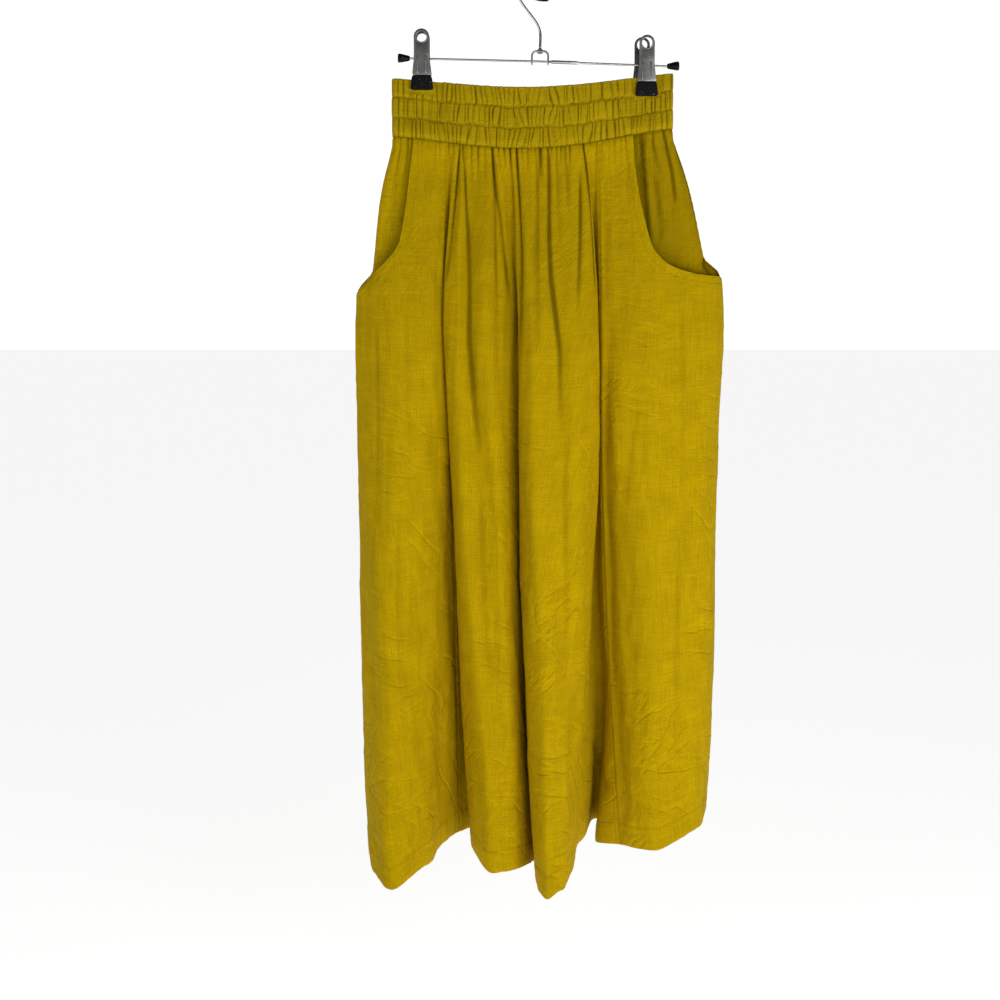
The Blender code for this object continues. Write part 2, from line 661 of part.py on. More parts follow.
def hook():
    """The wire hook, its dark tip and the stud that holds it in the bracket."""
    wire("hanger_hook", rounded_path(HOOK_PATH, 3), WIRE_RADIUS, "steel")
    wire("hanger_hook_tip", rounded_path(HOOK_CAP_PATH, 2), HOOK_CAP_RADIUS, "rubber")
    neck = WIRE_RADIUS
    under = BRACKET_TOP - BRACKET_THICK - CLEAR
    top = BRACKET_TOP + CLEAR
    profile = (
        (0, HOOK_PATH[0][1] - CLEAR), (neck, HOOK_PATH[0][1] - CLEAR), (STUD_RADIUS, top),
        (neck, top), (neck, under), (STUD_RADIUS, under),
        (STUD_RADIUS * 0.7, under - STUD_HEAD), (0, under - STUD_HEAD),
    )
    turned("hanger_stud", profile, (0, 0, 0), (0, 0, 1), "steel")


def bracket():
    """The inverted U that the stud and the rod pass through."""
    half = BRACKET_WIDE / 2 - BRACKET_THICK / 2
    top = BRACKET_TOP - BRACKET_THICK / 2
    line = [(-half, BRACKET_FOOT)]
    for corner in (-1, 1):
        for step in range(5):
            angle = math.pi / 2 * step / 4
            turn = angle if corner < 0 else math.pi / 2 - angle
            line.append((
                corner * (half - BRACKET_CORNER + BRACKET_CORNER * math.cos(turn)),
                top - BRACKET_CORNER + BRACKET_CORNER * math.sin(turn),
            ))
    line.append((half, BRACKET_FOOT))
    points = [(x, y, z) for x, z in line for y in (-BRACKET_DEEP / 2, BRACKET_DEEP / 2)]
    faces = [(2 * n, 2 * n + 1, 2 * n + 3, 2 * n + 2) for n in range(len(line) - 1)]
    made = add("hanger_bracket", mesh_of("hanger_bracket", points, faces), "steel")
    wall = made.modifiers.new("wall", "SOLIDIFY")
    wall.thickness = BRACKET_THICK * MM
    wall.offset = 0
    hole(made, "stud_hole", WIRE_RADIUS + CLEAR, 8, (0, 0, top), (0, 0, 1))
    for side in (-1, 1):
        place = (side * half, 0, rod_height(side * half))
        hole(made, f"rod_hole_{side + 1}", ROD_RADIUS + CLEAR, 8, place, (1, 0, 0))


def hole(target, name, radius, long, place, axis, sides=16):
    """A round hole cut by a cylinder through place along axis."""
    bpy.ops.mesh.primitive_cylinder_add(vertices=sides, radius=radius * MM, depth=long * MM)
    cutter = bpy.context.active_object
    cutter.name = name
    for found in list(cutter.users_collection):
        found.objects.unlink(cutter)
    CUTTERS.objects.link(cutter)
    cutter.location = Vector(place) * MM
    cutter.rotation_mode = "QUATERNION"
    cutter.rotation_quaternion = Vector((0, 0, 1)).rotation_difference(Vector(axis))
    cutter.hide_render = True
    cutter.display_type = "WIRE"
    cut = target.modifiers.new(name, "BOOLEAN")
    cut.operation = "DIFFERENCE"
    cut.object = cutter


def rod():
    """The rod with the thicker sleeve beside its bracket, and its two end caps."""
    stops = (ROD_ENDS[0], 0.0, *ROD_SLEEVE, ROD_ENDS[1])
    thick = ROD_SLEEVE_RADIUS / ROD_RADIUS
    radii = (1, 1, 1, thick, thick, 1, 1)
    wire("hanger_rod", [(x, 0, rod_height(x)) for x in stops], ROD_RADIUS, "steel", radii)
    near, far = CAP_RADII
    profile = (
        (0, 0), (near * 0.7, 0), (near, 0.9), (far, CAP_LONG - 1.2), (far * 0.8, CAP_LONG),
        (0, CAP_LONG),
    )
    for side, end in zip((-1, 1), ROD_ENDS):
        name = "hanger_cap_left" if side < 0 else "hanger_cap_right"
        centre = (end + side * CLEAR, 0, rod_height(end))
        turned(name, profile[::-1], centre, (side, 0, 0.03), "rubber", 20)


def plate_outline():
    """Outline of a clip's plate as (across, up), from the pad's end round the finger end."""
    top, foot = PLATE_WIDE[0] / 2, PLATE_WIDE[1] / 2
    shoulder = PLATE_LONG - top
    outline = [(-foot, 0), (foot, 0), (top, PLATE_LONG * PLATE_NARROWS)]
    for step in range(11):
        angle = math.pi * step / 10
        outline.append((top * math.cos(angle), shoulder + top * math.sin(angle)))
    outline.append((-top, PLATE_LONG * PLATE_NARROWS))
    return outline


def plate(name, centre_x, foot_z, side):
    """One pierced steel plate of a clip, leaning away from the other above the pad."""
    curve = bpy.data.curves.new(name, "CURVE")
    curve.dimensions = "2D"
    curve.fill_mode = "BOTH"
    curve.extrude = PLATE_THICK / 2 * MM
    outline = plate_outline()
    eye = PLATE_LONG - PLATE_WIDE[0] / 2
    sides = 16
    rings = [outline, [
        (
            PLATE_HOLE / 2 * math.cos(2 * math.pi * n / sides),
            eye + PLATE_HOLE / 2 * math.sin(2 * math.pi * n / sides),
        )
        for n in range(sides)
    ]]
    for ring in rings:
        line = curve.splines.new("POLY")
        line.points.add(len(ring) - 1)
        line.use_cyclic_u = True
        for point, (x, z) in zip(line.points, ring):
            point.co = (x * MM, z * MM, 0, 1)
    made = add(name, curve, "steel")
    weld = made.modifiers.new("weld", "WELD")
    weld.merge_threshold = 0.00001
    middle = PINCHED + BAND_WALL / 2 + PAD_CLEAR + PAD_THICK / 2
    made.location = Vector((centre_x, side * middle, foot_z)) * MM
    made.rotation_euler = (math.pi / 2 - side * PLATE_LEAN, 0, 0)


def pad(name, centre_x, foot_z, side):
    """One rubber pad, a little wider at its foot, with rounded edges."""
    bpy.ops.mesh.primitive_cube_add(size=1)
    made = bpy.context.active_object
    made.name = name
    for found in list(made.users_collection):
        found.objects.unlink(made)
    PARTS.objects.link(made)
    made.data.materials.append(material("rubber"))
    middle = PINCHED + BAND_WALL / 2 + PAD_CLEAR + PAD_THICK / 2
    for vertex in made.data.vertices:
        x, y, z = vertex.co
        wide = PAD_WIDE * (0.87 if z > 0 else 1)
        vertex.co = Vector((x * wide, y * PAD_THICK, z * PAD_HIGH)) * MM
    made.location = Vector((centre_x, side * middle, foot_z + PAD_HIGH / 2)) * MM
    round_off = made.modifiers.new("round", "BEVEL")
    round_off.width = 1.1 * MM
    round_off.segments = 2


def clip(label, centre_x, pad_foot, back_shift):
    """One clip: front and back plates and pads, and the spring round the rod."""
    foot = pad_foot + PAD_HIGH + CLEAR
    for side, face in ((-1, "front"), (1, "back")):
        shift = back_shift if side > 0 else 0.0
        plate(f"clip_{label}_plate_{face}", centre_x + shift, foot, side)
        pad(f"clip_{label}_pad_{face}", centre_x, pad_foot, side)
    half = SPRING_LONG / 2
    bore = ROD_RADIUS + CLEAR
    profile = ((bore, half), (SPRING_RADIUS, half), (SPRING_RADIUS, -half), (bore, -half))
    centre = (centre_x, 0, rod_height(centre_x))
    turned(f"clip_{label}_spring", profile, centre, (1, 0, -0.02), "steel", 20)


# ------------------------------------------------------------------ assembly
def build():
    """Make every piece."""
    band_half("waistband_front", back=False)
    band_half("waistband_back", back=True)
    crest, side = PLACE["left_crest"], PLACE["left_side"]
    panel("front_side_panel_left", "left_side", "left_seam", SIDE_GATHER, RIM_LEFT, side, crest - 0.01)
    panel("front_centre_panel", "left_seam", "right_seam")
    crest, side = PLACE["right_crest"], PLACE["right_side"]
    panel("front_side_panel_right", "right_seam", "right_side", SIDE_GATHER, RIM_RIGHT, crest + 0.01, side)
    panel("back_panel", "right_side", "left_side_again")
    yoke("hip_yoke_left", "left_side", RIM_LEFT)
    yoke("hip_yoke_right", "right_side", RIM_RIGHT)
    hook()
    bracket()
    rod()
    clip("left", CLIP_LEFT, PAD_FOOT[0], 0.0)
    clip("right", CLIP_RIGHT, PAD_FOOT[1], -4.0)


for old in list(bpy.data.objects):
    bpy.data.objects.remove(old, do_unlink=True)
PARTS = collection(NAME)
CUTTERS = collection("cutters")
build()
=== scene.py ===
"""Looks of a linen midi skirt that hangs by its gathered waistband from a clip hanger.

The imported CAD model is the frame.  Every sheet of cloth and every piece of the hanger is
modelled here over its solid and replaces it.  Metres, +Z up, +X to the viewer's right and -Y to
the viewer; tables and working values in millimetres, as their names or comments say.
"""

from __future__ import annotations

import logging
import math
import random
import sys
from dataclasses import dataclass, field
from enum import Enum
from typing import NamedTuple, Sequence, Union

import bpy
import numpy as np
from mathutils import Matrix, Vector

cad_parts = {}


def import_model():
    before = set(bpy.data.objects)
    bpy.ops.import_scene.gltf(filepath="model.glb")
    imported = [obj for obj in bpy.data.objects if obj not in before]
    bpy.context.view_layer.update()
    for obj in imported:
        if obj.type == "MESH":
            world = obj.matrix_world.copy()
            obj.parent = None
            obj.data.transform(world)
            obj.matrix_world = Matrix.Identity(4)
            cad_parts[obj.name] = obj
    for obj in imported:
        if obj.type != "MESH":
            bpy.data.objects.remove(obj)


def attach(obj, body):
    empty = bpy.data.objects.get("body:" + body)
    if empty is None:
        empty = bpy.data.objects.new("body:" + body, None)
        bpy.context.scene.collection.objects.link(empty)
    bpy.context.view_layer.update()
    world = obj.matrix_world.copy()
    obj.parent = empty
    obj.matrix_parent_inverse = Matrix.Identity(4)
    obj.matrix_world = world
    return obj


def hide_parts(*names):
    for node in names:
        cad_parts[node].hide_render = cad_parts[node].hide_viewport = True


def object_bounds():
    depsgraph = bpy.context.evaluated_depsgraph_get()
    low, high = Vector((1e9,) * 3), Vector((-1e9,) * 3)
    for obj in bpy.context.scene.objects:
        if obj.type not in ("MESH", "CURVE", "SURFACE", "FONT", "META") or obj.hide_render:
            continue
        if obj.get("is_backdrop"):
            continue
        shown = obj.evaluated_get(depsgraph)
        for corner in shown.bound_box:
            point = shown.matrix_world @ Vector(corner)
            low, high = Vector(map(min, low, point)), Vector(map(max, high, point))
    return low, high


LOG = logging.getLogger("midi_skirt")
MM = 0.001
ROOT = "root"
WALL = 0.62  # thickness of the dressed linen
HEM_DEPTH = 24.0
FAR = 999.0  # a distance that no place on the cloth reaches

Piece = bpy.types.Object
Grid = np.ndarray
Measure = Union[float, Grid]  # one value, or one for each place
Colour = tuple[float, float, float]
Pair = tuple[float, float]
Line = tuple[Pair, ...]
Row = Sequence[float]

# The other sizes and tables of this section and the next are the solids' own.
SEAM_GAP = 0.35  # between neighbouring pieces at a seam
HEM_LEVEL = -950.0
SEAM_LEVEL = -190.0
SKIRT_DROP = SEAM_LEVEL - HEM_LEVEL
BAND_LEFT, BAND_RIGHT = -157.0, 141.0
BAND_WALL = 3.0
BAND_TOP_ENDS, BAND_TOP_SAG = (-119.6, -114.4), 12.0  # heights at its ends, and the sag between them
BAND_SEAM_ENDS, BAND_SEAM_SAG = (-182.6, -174.4), 16.5
SAG_POWER = 1.3
BAND_END_RADIUS, BAND_BELLY = (4.2, 6.5), (5.0, 5.5)  # at the waistband's top and at its foot
CLIP_LEFT, CLIP_RIGHT = -126.0, 113.5
PINCHED = 2.1  # half the waistband's depth between the pads
PAD_WIDE, PAD_HIGH, PAD_THICK, PAD_CLEAR = 25.0, 15.5, 4.2, 0.3


# ------------ the folds
class Fold(NamedTuple):
    """A crest or valley of the cloth: (across, depth) at each station, and its hem's height."""

    name: str
    waist: Pair
    hip: Pair
    thigh: Pair
    knee: Pair
    calf: Pair
    hem: Pair
    hem_z: float
    turn: float = 0


STATIONS = (SEAM_LEVEL, -335.0, -500.0, -650.0, -800.0, HEM_LEVEL)
FOLDS = tuple(Fold(*row) for row in (
    ("left_side", (-157, 0), (-196, 0), (-198, 0), (-196, 0), (-195, -1), (-188, -6), -958),
    ("left_round", (-151, -7), (-172, -20), (-181, -27), (-182, -38), (-182, -45), (-181, -48), -978),
    ("left_crest", (-134, -8), (-151, -28), (-155, -43), (-157, -56), (-160, -68), (-160, -84), -986),
    ("left_dip", (-117, -9), (-116, -25), (-117, -32), (-118, -37), (-122, -46), (-123, -60), -967),
    ("left_flank", (-108, -10), (-108, -19), (-107, -21), (-106, -20), (-107, -19), (-105, -18), -954),
    ("left_seam", (-100, -10), (-101, -12), (-97, -9), (-94, -3), (-91, 4), (-88, 10), -951),
    ("pleat_a", (-96, -10), (-94, -4), (-89, 3), (-80, 12), (-72, 18), (-63, 22), -946, 3.2),
    ("edge_a", (-92, -11), (-101, -21), (-98, -20), (-91, -15), (-84, -15), (-74, -18), -958),
    ("crest_a", (-82, -11), (-88, -31), (-85, -42), (-76, -49), (-62, -55), (-52, -62), -975),
    ("dip_a", (-72, -10), (-77, -25), (-65, -37), (-55, -45), (-46, -53), (-38, -63), -973),
    ("crest_b", (-56, -12), (-56, -33), (-49, -44), (-40, -48), (-30, -52), (-22, -57), -971),
    ("pleat_b", (-37, -11), (-21, -10), (-14, -8), (-10, -2), (-4, 2), (6, -14), -974, 3.2),
    ("edge_b", (-29, -12), (-24, -19), (-22, -24), (-20, -28), (-13, -34), (-3, -50), -986),
    ("crest_c", (-15, -12), (-10, -37), (-8, -54), (-2, -67), (4, -81), (8, -97), -992),
    ("dip_c", (10, -11), (10, -32), (24, -49), (18, -63), (21, -76), (23, -88), -985),
    ("crest_d", (32, -12), (37, -35), (42, -49), (37, -58), (33, -64), (35, -67), -972),
    ("edge_d", (51, -11), (61, -21), (64, -26), (58, -28), (51, -30), (45, -32), -950),
    ("pleat_d", (56, -10), (59, -5), (59, 2), (63, 13), (70, 25), (68, 32), -943, 3.2),
    ("right_edge", (60, -10), (63, -9), (65, -5), (69, 0), (76, 4), (64, -8), -957),
    ("right_seam", (63, -11), (65, -15), (67, -13), (72, -9), (80, -8), (90, -28), -954),
    ("right_dip", (69, -11), (71, -17), (73, -16), (78, -13), (87, -15), (97, -35), -953),
    ("right_rise", (77, -11), (81, -23), (84, -29), (89, -31), (98, -35), (107, -44), -953),
    ("right_crest", (98, -10), (111, -29), (121, -42), (124, -49), (125, -51), (127, -54), -952),
    ("right_far", (134, -7), (178, -17), (183, -24), (183, -31), (182, -35), (175, -36), -932),
    ("right_side", (141, 0), (196, 0), (195, 0), (194, 0), (193, -1), (187, -4), -918),
    ("back_far_right", (134, 7), (176, 14), (181, 22), (181, 30), (180, 37), (174, 42), -924),
    ("back_crest_a", (112, 9), (140, 24), (142, 36), (142, 47), (140, 56), (138, 62), -932),
    ("back_dip_a", (92, 10), (110, 18), (112, 20), (114, 20), (116, 20), (112, 22), -934),
    ("back_crest_b", (72, 11), (84, 28), (82, 40), (84, 52), (82, 62), (80, 70), -946),
    ("back_dip_b", (50, 10), (54, 19), (55, 24), (55, 30), (52, 38), (50, 44), -944),
    ("back_crest_c", (28, 12), (26, 30), (28, 43), (25, 55), (27, 66), (26, 76), -952),
    ("back_dip_c", (2, 11), (-2, 20), (-4, 24), (-2, 26), (-5, 26), (-4, 28), -950),
    ("back_crest_d", (-24, 12), (-32, 30), (-30, 42), (-34, 54), (-32, 64), (-35, 72), -956),
    ("back_dip_d", (-46, 11), (-56, 20), (-60, 25), (-62, 31), (-60, 38), (-60, 44), -954),
    ("back_crest_e", (-70, 11), (-84, 28), (-88, 40), (-90, 50), (-92, 60), (-92, 68), -962),
    ("back_dip_e", (-94, 10), (-112, 18), (-116, 20), (-118, 21), (-118, 22), (-120, 24), -960),
    ("back_crest_f", (-118, 9), (-142, 24), (-146, 34), (-148, 42), (-148, 50), (-144, 56), -964),
    ("back_far_left", (-150, 7), (-168, 15), (-174, 22), (-174, 30), (-174, 38), (-168, 44), -960),
))
WING_IN = 14.0  # how far the side edges stand in above the pockets' mouths
WING_GROWS = (25.0, 125.0)  # where that starts below the seam, and the height over which it grows
# The heights between which it ends, and its way in, at each side.
WINGS = {"left_side": ((-322.0, -346.0), 1), "right_side": ((-314.0, -331.0), -1)}
RIM_LEFT = ((-134, -184), (-146, -288), (-155, -306), (-166, -317), (-181, -331), (-196, -347))
RIM_RIGHT = (
    (98, -181), (101, -224), (106, -250), (112, -276), (118, -298),
    (125, -308), (136, -318), (150, -324), (170, -329), (197, -331),
)
YOKE_LAP, YOKE_FOOT = 22.0, -432.0  # how far it runs in behind the panel, and its lower end
YOKE_BEHIND, YOKE_BACK = 1.9, 7.5  # how far behind the waistband's middle line it starts, and its depth below
YOKE_INSET, YOKE_TUCK = 10.0, 18.0  # how far its side edge is tucked in, and over what height


# ------------ small maths
def mix(a: Measure, b: Measure, t: Measure) -> Measure:
    """The value a share t of the way from a to b."""
    return a + (b - a) * t


def smooth(t: Measure) -> Measure:
    """A soft step from 0 to 1, of a number or an array."""
    t = np.clip(t, 0.0, 1.0)
    return t * t * (3 - 2 * t)


def bell(distance: Measure, width: Measure) -> Measure:
    """A soft hump of height 1 at distance 0."""
    return np.exp(-((distance / width) ** 2))


def band_share(x: Measure) -> Measure:
    """Share of the way across the waistband at x, from its left end."""
    return np.clip((np.asarray(x, float) - BAND_LEFT) / (BAND_RIGHT - BAND_LEFT), 0.0, 1.0)


def edge_height(x: Measure, ends: Pair, drop: float) -> Measure:
    """Height at x of an edge of the waistband that sags by a drop between its two ends' heights."""
    share = band_share(x)
    return mix(*ends, share) - drop * np.sin(math.pi * share) ** SAG_POWER


def seam_height(x: Measure) -> Measure:
    """Height of the seam between waistband and skirt."""
    return edge_height(x, BAND_SEAM_ENDS, BAND_SEAM_SAG)


def top_height(x: Measure) -> Measure:
    """Height of the waistband's top edge."""
    return edge_height(x, BAND_TOP_ENDS, BAND_TOP_SAG)


def grip(x: Measure, down: Measure) -> Measure:
    """How hard the clips pinch the waistband.

    Args:
        x: Places across it.
        down: Shares of the way down it.

    Returns:
        From 0 where it hangs free to 1 between the pads.
    """
    x = np.asarray(x, float)
    near = np.minimum(abs(x - CLIP_LEFT), abs(x - CLIP_RIGHT))
    return (1 - smooth((near - PAD_WIDE / 2 - 1.5) / 14)) * (1 - smooth((down - 0.42) / 0.5))


def half_depth(x: Measure, down: Measure) -> Measure:
    """Half the waistband's depth at x, from its middle plane to its middle line, a share down its height."""
    free = mix(*BAND_END_RADIUS, down) + mix(*BAND_BELLY, down) * np.sin(math.pi * band_share(x))
    return mix(free, PINCHED, grip(x, down))


def facing(points: Grid) -> Grid:
    """The direction in which a grid of points faces, at each of them."""
    normals = np.cross(np.gradient(points, axis=0), np.gradient(points, axis=1))
    return normals / np.maximum(np.linalg.norm(normals, axis=2, keepdims=True), 1e-9)


def line_run(points: Grid) -> Grid:
    """Length run along a line of points, from its first."""
    return np.r_[0, np.cumsum(np.linalg.norm(np.diff(points, axis=0), axis=1))]


def way_run(points: Grid, axis: int) -> Grid:
    """Length run over a grid of points, down from its first row (0) or across from its first column (1)."""
    steps = np.linalg.norm(np.diff(points, axis=axis), axis=2)
    start = np.zeros(points.take([0], axis).shape[:2])
    return np.concatenate([start, np.cumsum(steps, axis=axis)], axis=axis)


def along(values: Row, at: float) -> float:
    """A fold's smooth path through its values at the stations, read at one height.

    Args:
        values: One value for each station.
        at: The height.

    Returns:
        The path's value there.
    """
    stops = STATIONS
    at = min(max(at, stops[-1]), stops[0])
    n = next(i for i in range(len(stops) - 1) if at >= stops[i + 1])
    span = stops[n + 1] - stops[n]

    def slope(i: int) -> float:
        """Slope of the path at one station."""
        low, high = max(i - 1, 0), min(i + 1, len(stops) - 1)
        return (values[high] - values[low]) / (stops[high] - stops[low])

    t = (at - stops[n]) / span
    bend = (1 - t) * (values[n + 1] - values[n] - slope(n) * span)
    bend -= t * (values[n + 1] - values[n] - slope(n + 1) * span)
    return mix(values[n], values[n + 1], t) - t * (1 - t) * bend * (1.0 if n else 0.5)


# ------------ the skirt's form
class SkirtForm:
    """The skirt's surface: a ring of folds that the cloth passes through at every height."""

    levels: int = 601  # rows of its table

    def __init__(self) -> None:
        """Work out the ring's places at every level."""
        self.ring = [(fold, side) for fold in FOLDS for side in ((-1, 1) if fold.turn else (0,))]
        self.place = {fold.name: n for n, (fold, side) in enumerate(self.ring) if side != 1}
        self.place["left_side_again"] = len(self.ring)
        self.hems = np.array([fold.hem_z for fold, _ in self.ring], float)
        shares = np.linspace(0, 1, self.levels)
        self.table = np.array([self._level(share) for share in shares])

    def _place(self, fold: Fold, height: float) -> Grid:
        """A fold's place in plan.

        Args:
            fold: The fold.
            height: The height at which it is cut.

        Returns:
            How far across and how deep it lies.
        """
        x = along([p[0] for p in fold[1:7]], height)
        y = along([p[1] for p in fold[1:7]], height)
        if fold.name in WINGS:
            (start, end), sign = WINGS[fold.name]
            rise = 1 - smooth((height - start) / (end - start))
            x += sign * WING_IN * rise * smooth((SEAM_LEVEL - height - WING_GROWS[0]) / WING_GROWS[1])
        return np.array((x, y))

    def _level(self, v: float) -> list[Grid]:
        """One row of the table.

        Args:
            v: Share of the way down.

        Returns:
            The place of each crest and valley of the ring.
        """
        height = mix(SEAM_LEVEL, HEM_LEVEL, max(v - 0.004, 0.0))
        spots = {fold.name: self._place(fold, height) for fold in FOLDS}
        count, row = len(self.ring), []
        for n, (fold, side) in enumerate(self.ring):
            spot = spots[fold.name]
            if side:
                before = spots[self.ring[(n - (2 if side > 0 else 1)) % count][0].name]
                after = spots[self.ring[(n + (1 if side > 0 else 2)) % count][0].name]
                reach = (math.dist(spot, before), math.dist(spot, after))
                line = (spot - before) / reach[0] + (after - spot) / reach[1]
                line /= np.linalg.norm(line)
                spot = spot + side * min(fold.turn, min(reach) * 0.3) * line
            row.append(spot)
        return row

    def plan(self, k: Measure, v: Measure) -> Grid:
        """Points of the cloth's middle in plan.

        Args:
            k: Places along the ring of folds.
            v: Shares of the way down from the waistband's seam to the hem.

        Returns:
            The points, with across and depth in the last axis.
        """
        k, v = np.broadcast_arrays(np.asarray(k, float), np.asarray(v, float))
        n = np.floor(k).astype(int)
        at = np.clip(v, 0, 1) * (self.levels - 1)
        low = np.minimum(at.astype(int), self.levels - 2)
        share = (at - low)[..., None]
        count = len(self.ring)
        points = []
        for step in (-1, 0, 1, 2):
            index = (n + step) % count
            points.append(self.table[low, index] * (1 - share) + self.table[low + 1, index] * share)
        stops = [np.zeros(k.shape + (1,))]
        for a, b in zip(points, points[1:]):
            stops.append(stops[-1] + np.maximum(np.linalg.norm(b - a, axis=-1, keepdims=True), 1e-6) ** 0.5)
        where = mix(stops[1], stops[2], (k - n)[..., None])

        def blend(p: Grid, q: Grid, start: Grid, end: Grid) -> Grid:
            """The straight blend of two points between two stops."""
            return mix(p, q, (where - start) / (end - start))

        one = [blend(points[i], points[i + 1], stops[i], stops[i + 1]) for i in range(3)]
        two = [blend(one[i], one[i + 1], stops[i], stops[i + 2]) for i in range(2)]
        return blend(two[0], two[1], stops[1], stops[2])

    def surface(self, k: Measure, v: Measure) -> Grid:
        """Points of the cloth's middle.

        Args:
            k: Places along the ring of folds.
            v: Shares of the way down from the waistband's seam to the hem.

        Returns:
            The points in millimetres, with x, y and z in the last axis.
        """
        k, v = np.broadcast_arrays(np.asarray(k, float), np.asarray(v, float))
        flat = self.plan(k, v)
        n = np.floor(k).astype(int)
        count = len(self.ring)
        hem = mix(self.hems[n % count], self.hems[(n + 1) % count], smooth(k - n))
        top = seam_height(self.plan(k, 0 * v)[..., 0]) - SEAM_GAP - SEAM_LEVEL
        height = mix(SEAM_LEVEL, HEM_LEVEL, v) + top * (1 - v) ** 4 + (hem - HEM_LEVEL) * v**2
        return np.concatenate([flat, height[..., None]], axis=-1)


# ------------ shader kit
class Socket:
    """A shader value that takes part in Python arithmetic by adding Math nodes."""

    def __init__(self, kit: NodeKit, socket: bpy.types.NodeSocket) -> None:
        """Wrap one output socket of a material's nodes."""
        self.kit = kit
        self.socket = socket

    def _math(self, operation: str, *values: Value) -> Socket:
        """Add one Math node."""
        return self.kit.node("ShaderNodeMath", {"operation": operation}, dict(enumerate(values)))

    def __add__(self, other: Value) -> Socket:
        """self + other."""
        return self._math("ADD", self, other)

    __radd__ = __add__

    def __sub__(self, other: Value) -> Socket:
        """self - other."""
        return self._math("SUBTRACT", self, other)

    def __rsub__(self, other: Value) -> Socket:
        """other - self."""
        return self._math("SUBTRACT", other, self)

    def __mul__(self, other: Value) -> Socket:
        """self * other."""
        return self._math("MULTIPLY", self, other)

    __rmul__ = __mul__

    def __truediv__(self, other: Value) -> Socket:
        """self / other."""
        return self._math("DIVIDE", self, other)

    def __abs__(self) -> Socket:
        """Size of self without its sign."""
        return self._math("ABSOLUTE", self)

    def sine(self) -> Socket:
        """Sine of self."""
        return self._math("SINE", self)

    def fraction(self) -> Socket:
        """What is left of self after whole numbers."""
        return self._math("FRACT", self)

    def highest(self, other: Value) -> Socket:
        """The higher of two values."""
        return self._math("MAXIMUM", self, other)

    def step(self, low: float, high: float) -> Socket:
        """A soft step from 0 at low to 1 at high."""
        values = {"Value": self, "From Min": low, "From Max": high}
        return self.kit.node("ShaderNodeMapRange", {"interpolation_type": "SMOOTHSTEP"}, values)


Value = Union[Socket, float, tuple]


class NodeKit:
    """Adds nodes to one material."""

    def __init__(self, title: str) -> None:
        """Start an empty material with its output and one main shader."""
        self.material = bpy.data.materials.new(title)
        self.material.use_nodes = True
        self.tree = self.material.node_tree
        self.shader = self.tree.nodes["Principled BSDF"]

    def node(self, kind: str, settings: dict, values: dict, output: int | str = 0) -> Socket:
        """Add any node.

        Args:
            kind: The node's type.
            settings: Properties set before anything is linked.
            values: Sockets' numbers, colours or links, by name or number.
            output: Which of its outputs is returned.

        Returns:
            The chosen output.
        """
        made = self.tree.nodes.new(kind)
        for name, value in settings.items():
            setattr(made, name, value)
        for name, value in values.items():
            self.feed(made.inputs[name], value)
        return Socket(self, made.outputs[output])

    def feed(self, socket: bpy.types.NodeSocket, value: Value) -> None:
        """Link or set one input.

        Args:
            socket: The input.
            value: What it gets: another node's output, a number or a colour.
        """
        if isinstance(value, Socket):
            self.tree.links.new(value.socket, socket)
        else:
            socket.default_value = value

    def dress(self, **values: Value) -> None:
        """Feed the main shader; a name's underscores stand for spaces."""
        for name, value in values.items():
            self.feed(self.shader.inputs[name.replace("_", " ")], value)

    def uv(self, title: str) -> tuple[Socket, Socket]:
        """The two coordinates of one of the piece's own maps.

        Args:
            title: The map's name.

        Returns:
            Its first and second coordinate.
        """
        made = self.node("ShaderNodeUVMap", {"uv_map": title}, {})
        apart = self.tree.nodes.new("ShaderNodeSeparateXYZ")
        self.feed(apart.inputs[0], made)
        return Socket(self, apart.outputs[0]), Socket(self, apart.outputs[1])

    def place(self) -> Socket:
        """Where each point lies on the object."""
        return self.node("ShaderNodeTexCoord", {}, {}, "Object")

    def spot(self, x: Value, y: Value, z: Value = 0.0) -> Socket:
        """A coordinate put together from three values."""
        return self.node("ShaderNodeCombineXYZ", {}, {0: x, 1: y, 2: z})

    def noise(self, where: Socket, scale: float, detail: float = 2.0, rough: float = 0.5) -> Socket:
        """Soft noise from 0 to 1."""
        values = {"Vector": where, "Scale": scale, "Detail": detail, "Roughness": rough}
        return self.node("ShaderNodeTexNoise", {}, values)

    def colour(self, share: Value, low: Socket | Colour, high: Colour) -> Socket:
        """A colour between another, fixed or linked, and a fixed one, by a share."""
        start = low if isinstance(low, Socket) else (*low, 1)
        return self.node("ShaderNodeMix", {"data_type": "RGBA"}, {0: share, 6: start, 7: (*high, 1)}, 2)

    def bump(self, height: Socket, distance: float, normal: Socket | None = None) -> Socket:
        """A bumped normal.

        Args:
            height: Height of the surface in units of distance.
            distance: How high a height of 1 stands, in metres.
            normal: The normal that is bumped, where another has come before.

        Returns:
            The new normal.
        """
        values = {"Height": height, "Distance": distance, "Strength": 1.0}
        if normal is not None:
            values["Normal"] = normal
        return self.node("ShaderNodeBump", {}, values)


# ------------ finishes
LINEN_GLOSS = {
    "Specular_IOR_Level": 0.12, "Specular_Tint": (1.0, 0.8, 0.1, 1),
    "Sheen_Weight": 0.06, "Sheen_Roughness": 0.6, "Sheen_Tint": (0.9, 0.72, 0.05, 1),
}


def shaded(tone: Colour, share: float) -> Colour:
    """A colour made darker or lighter by a share."""
    return tuple(min(value * share, 1) for value in tone)


@dataclass(frozen=True)
class Sewing:
    """Rows of topstitching, as distances in millimetres from each kind of edge."""

    hem: tuple[float, ...] = ()
    rim: tuple[float, ...] = ()
    first_seam: tuple[float, ...] = ()
    last_seam: tuple[float, ...] = ()


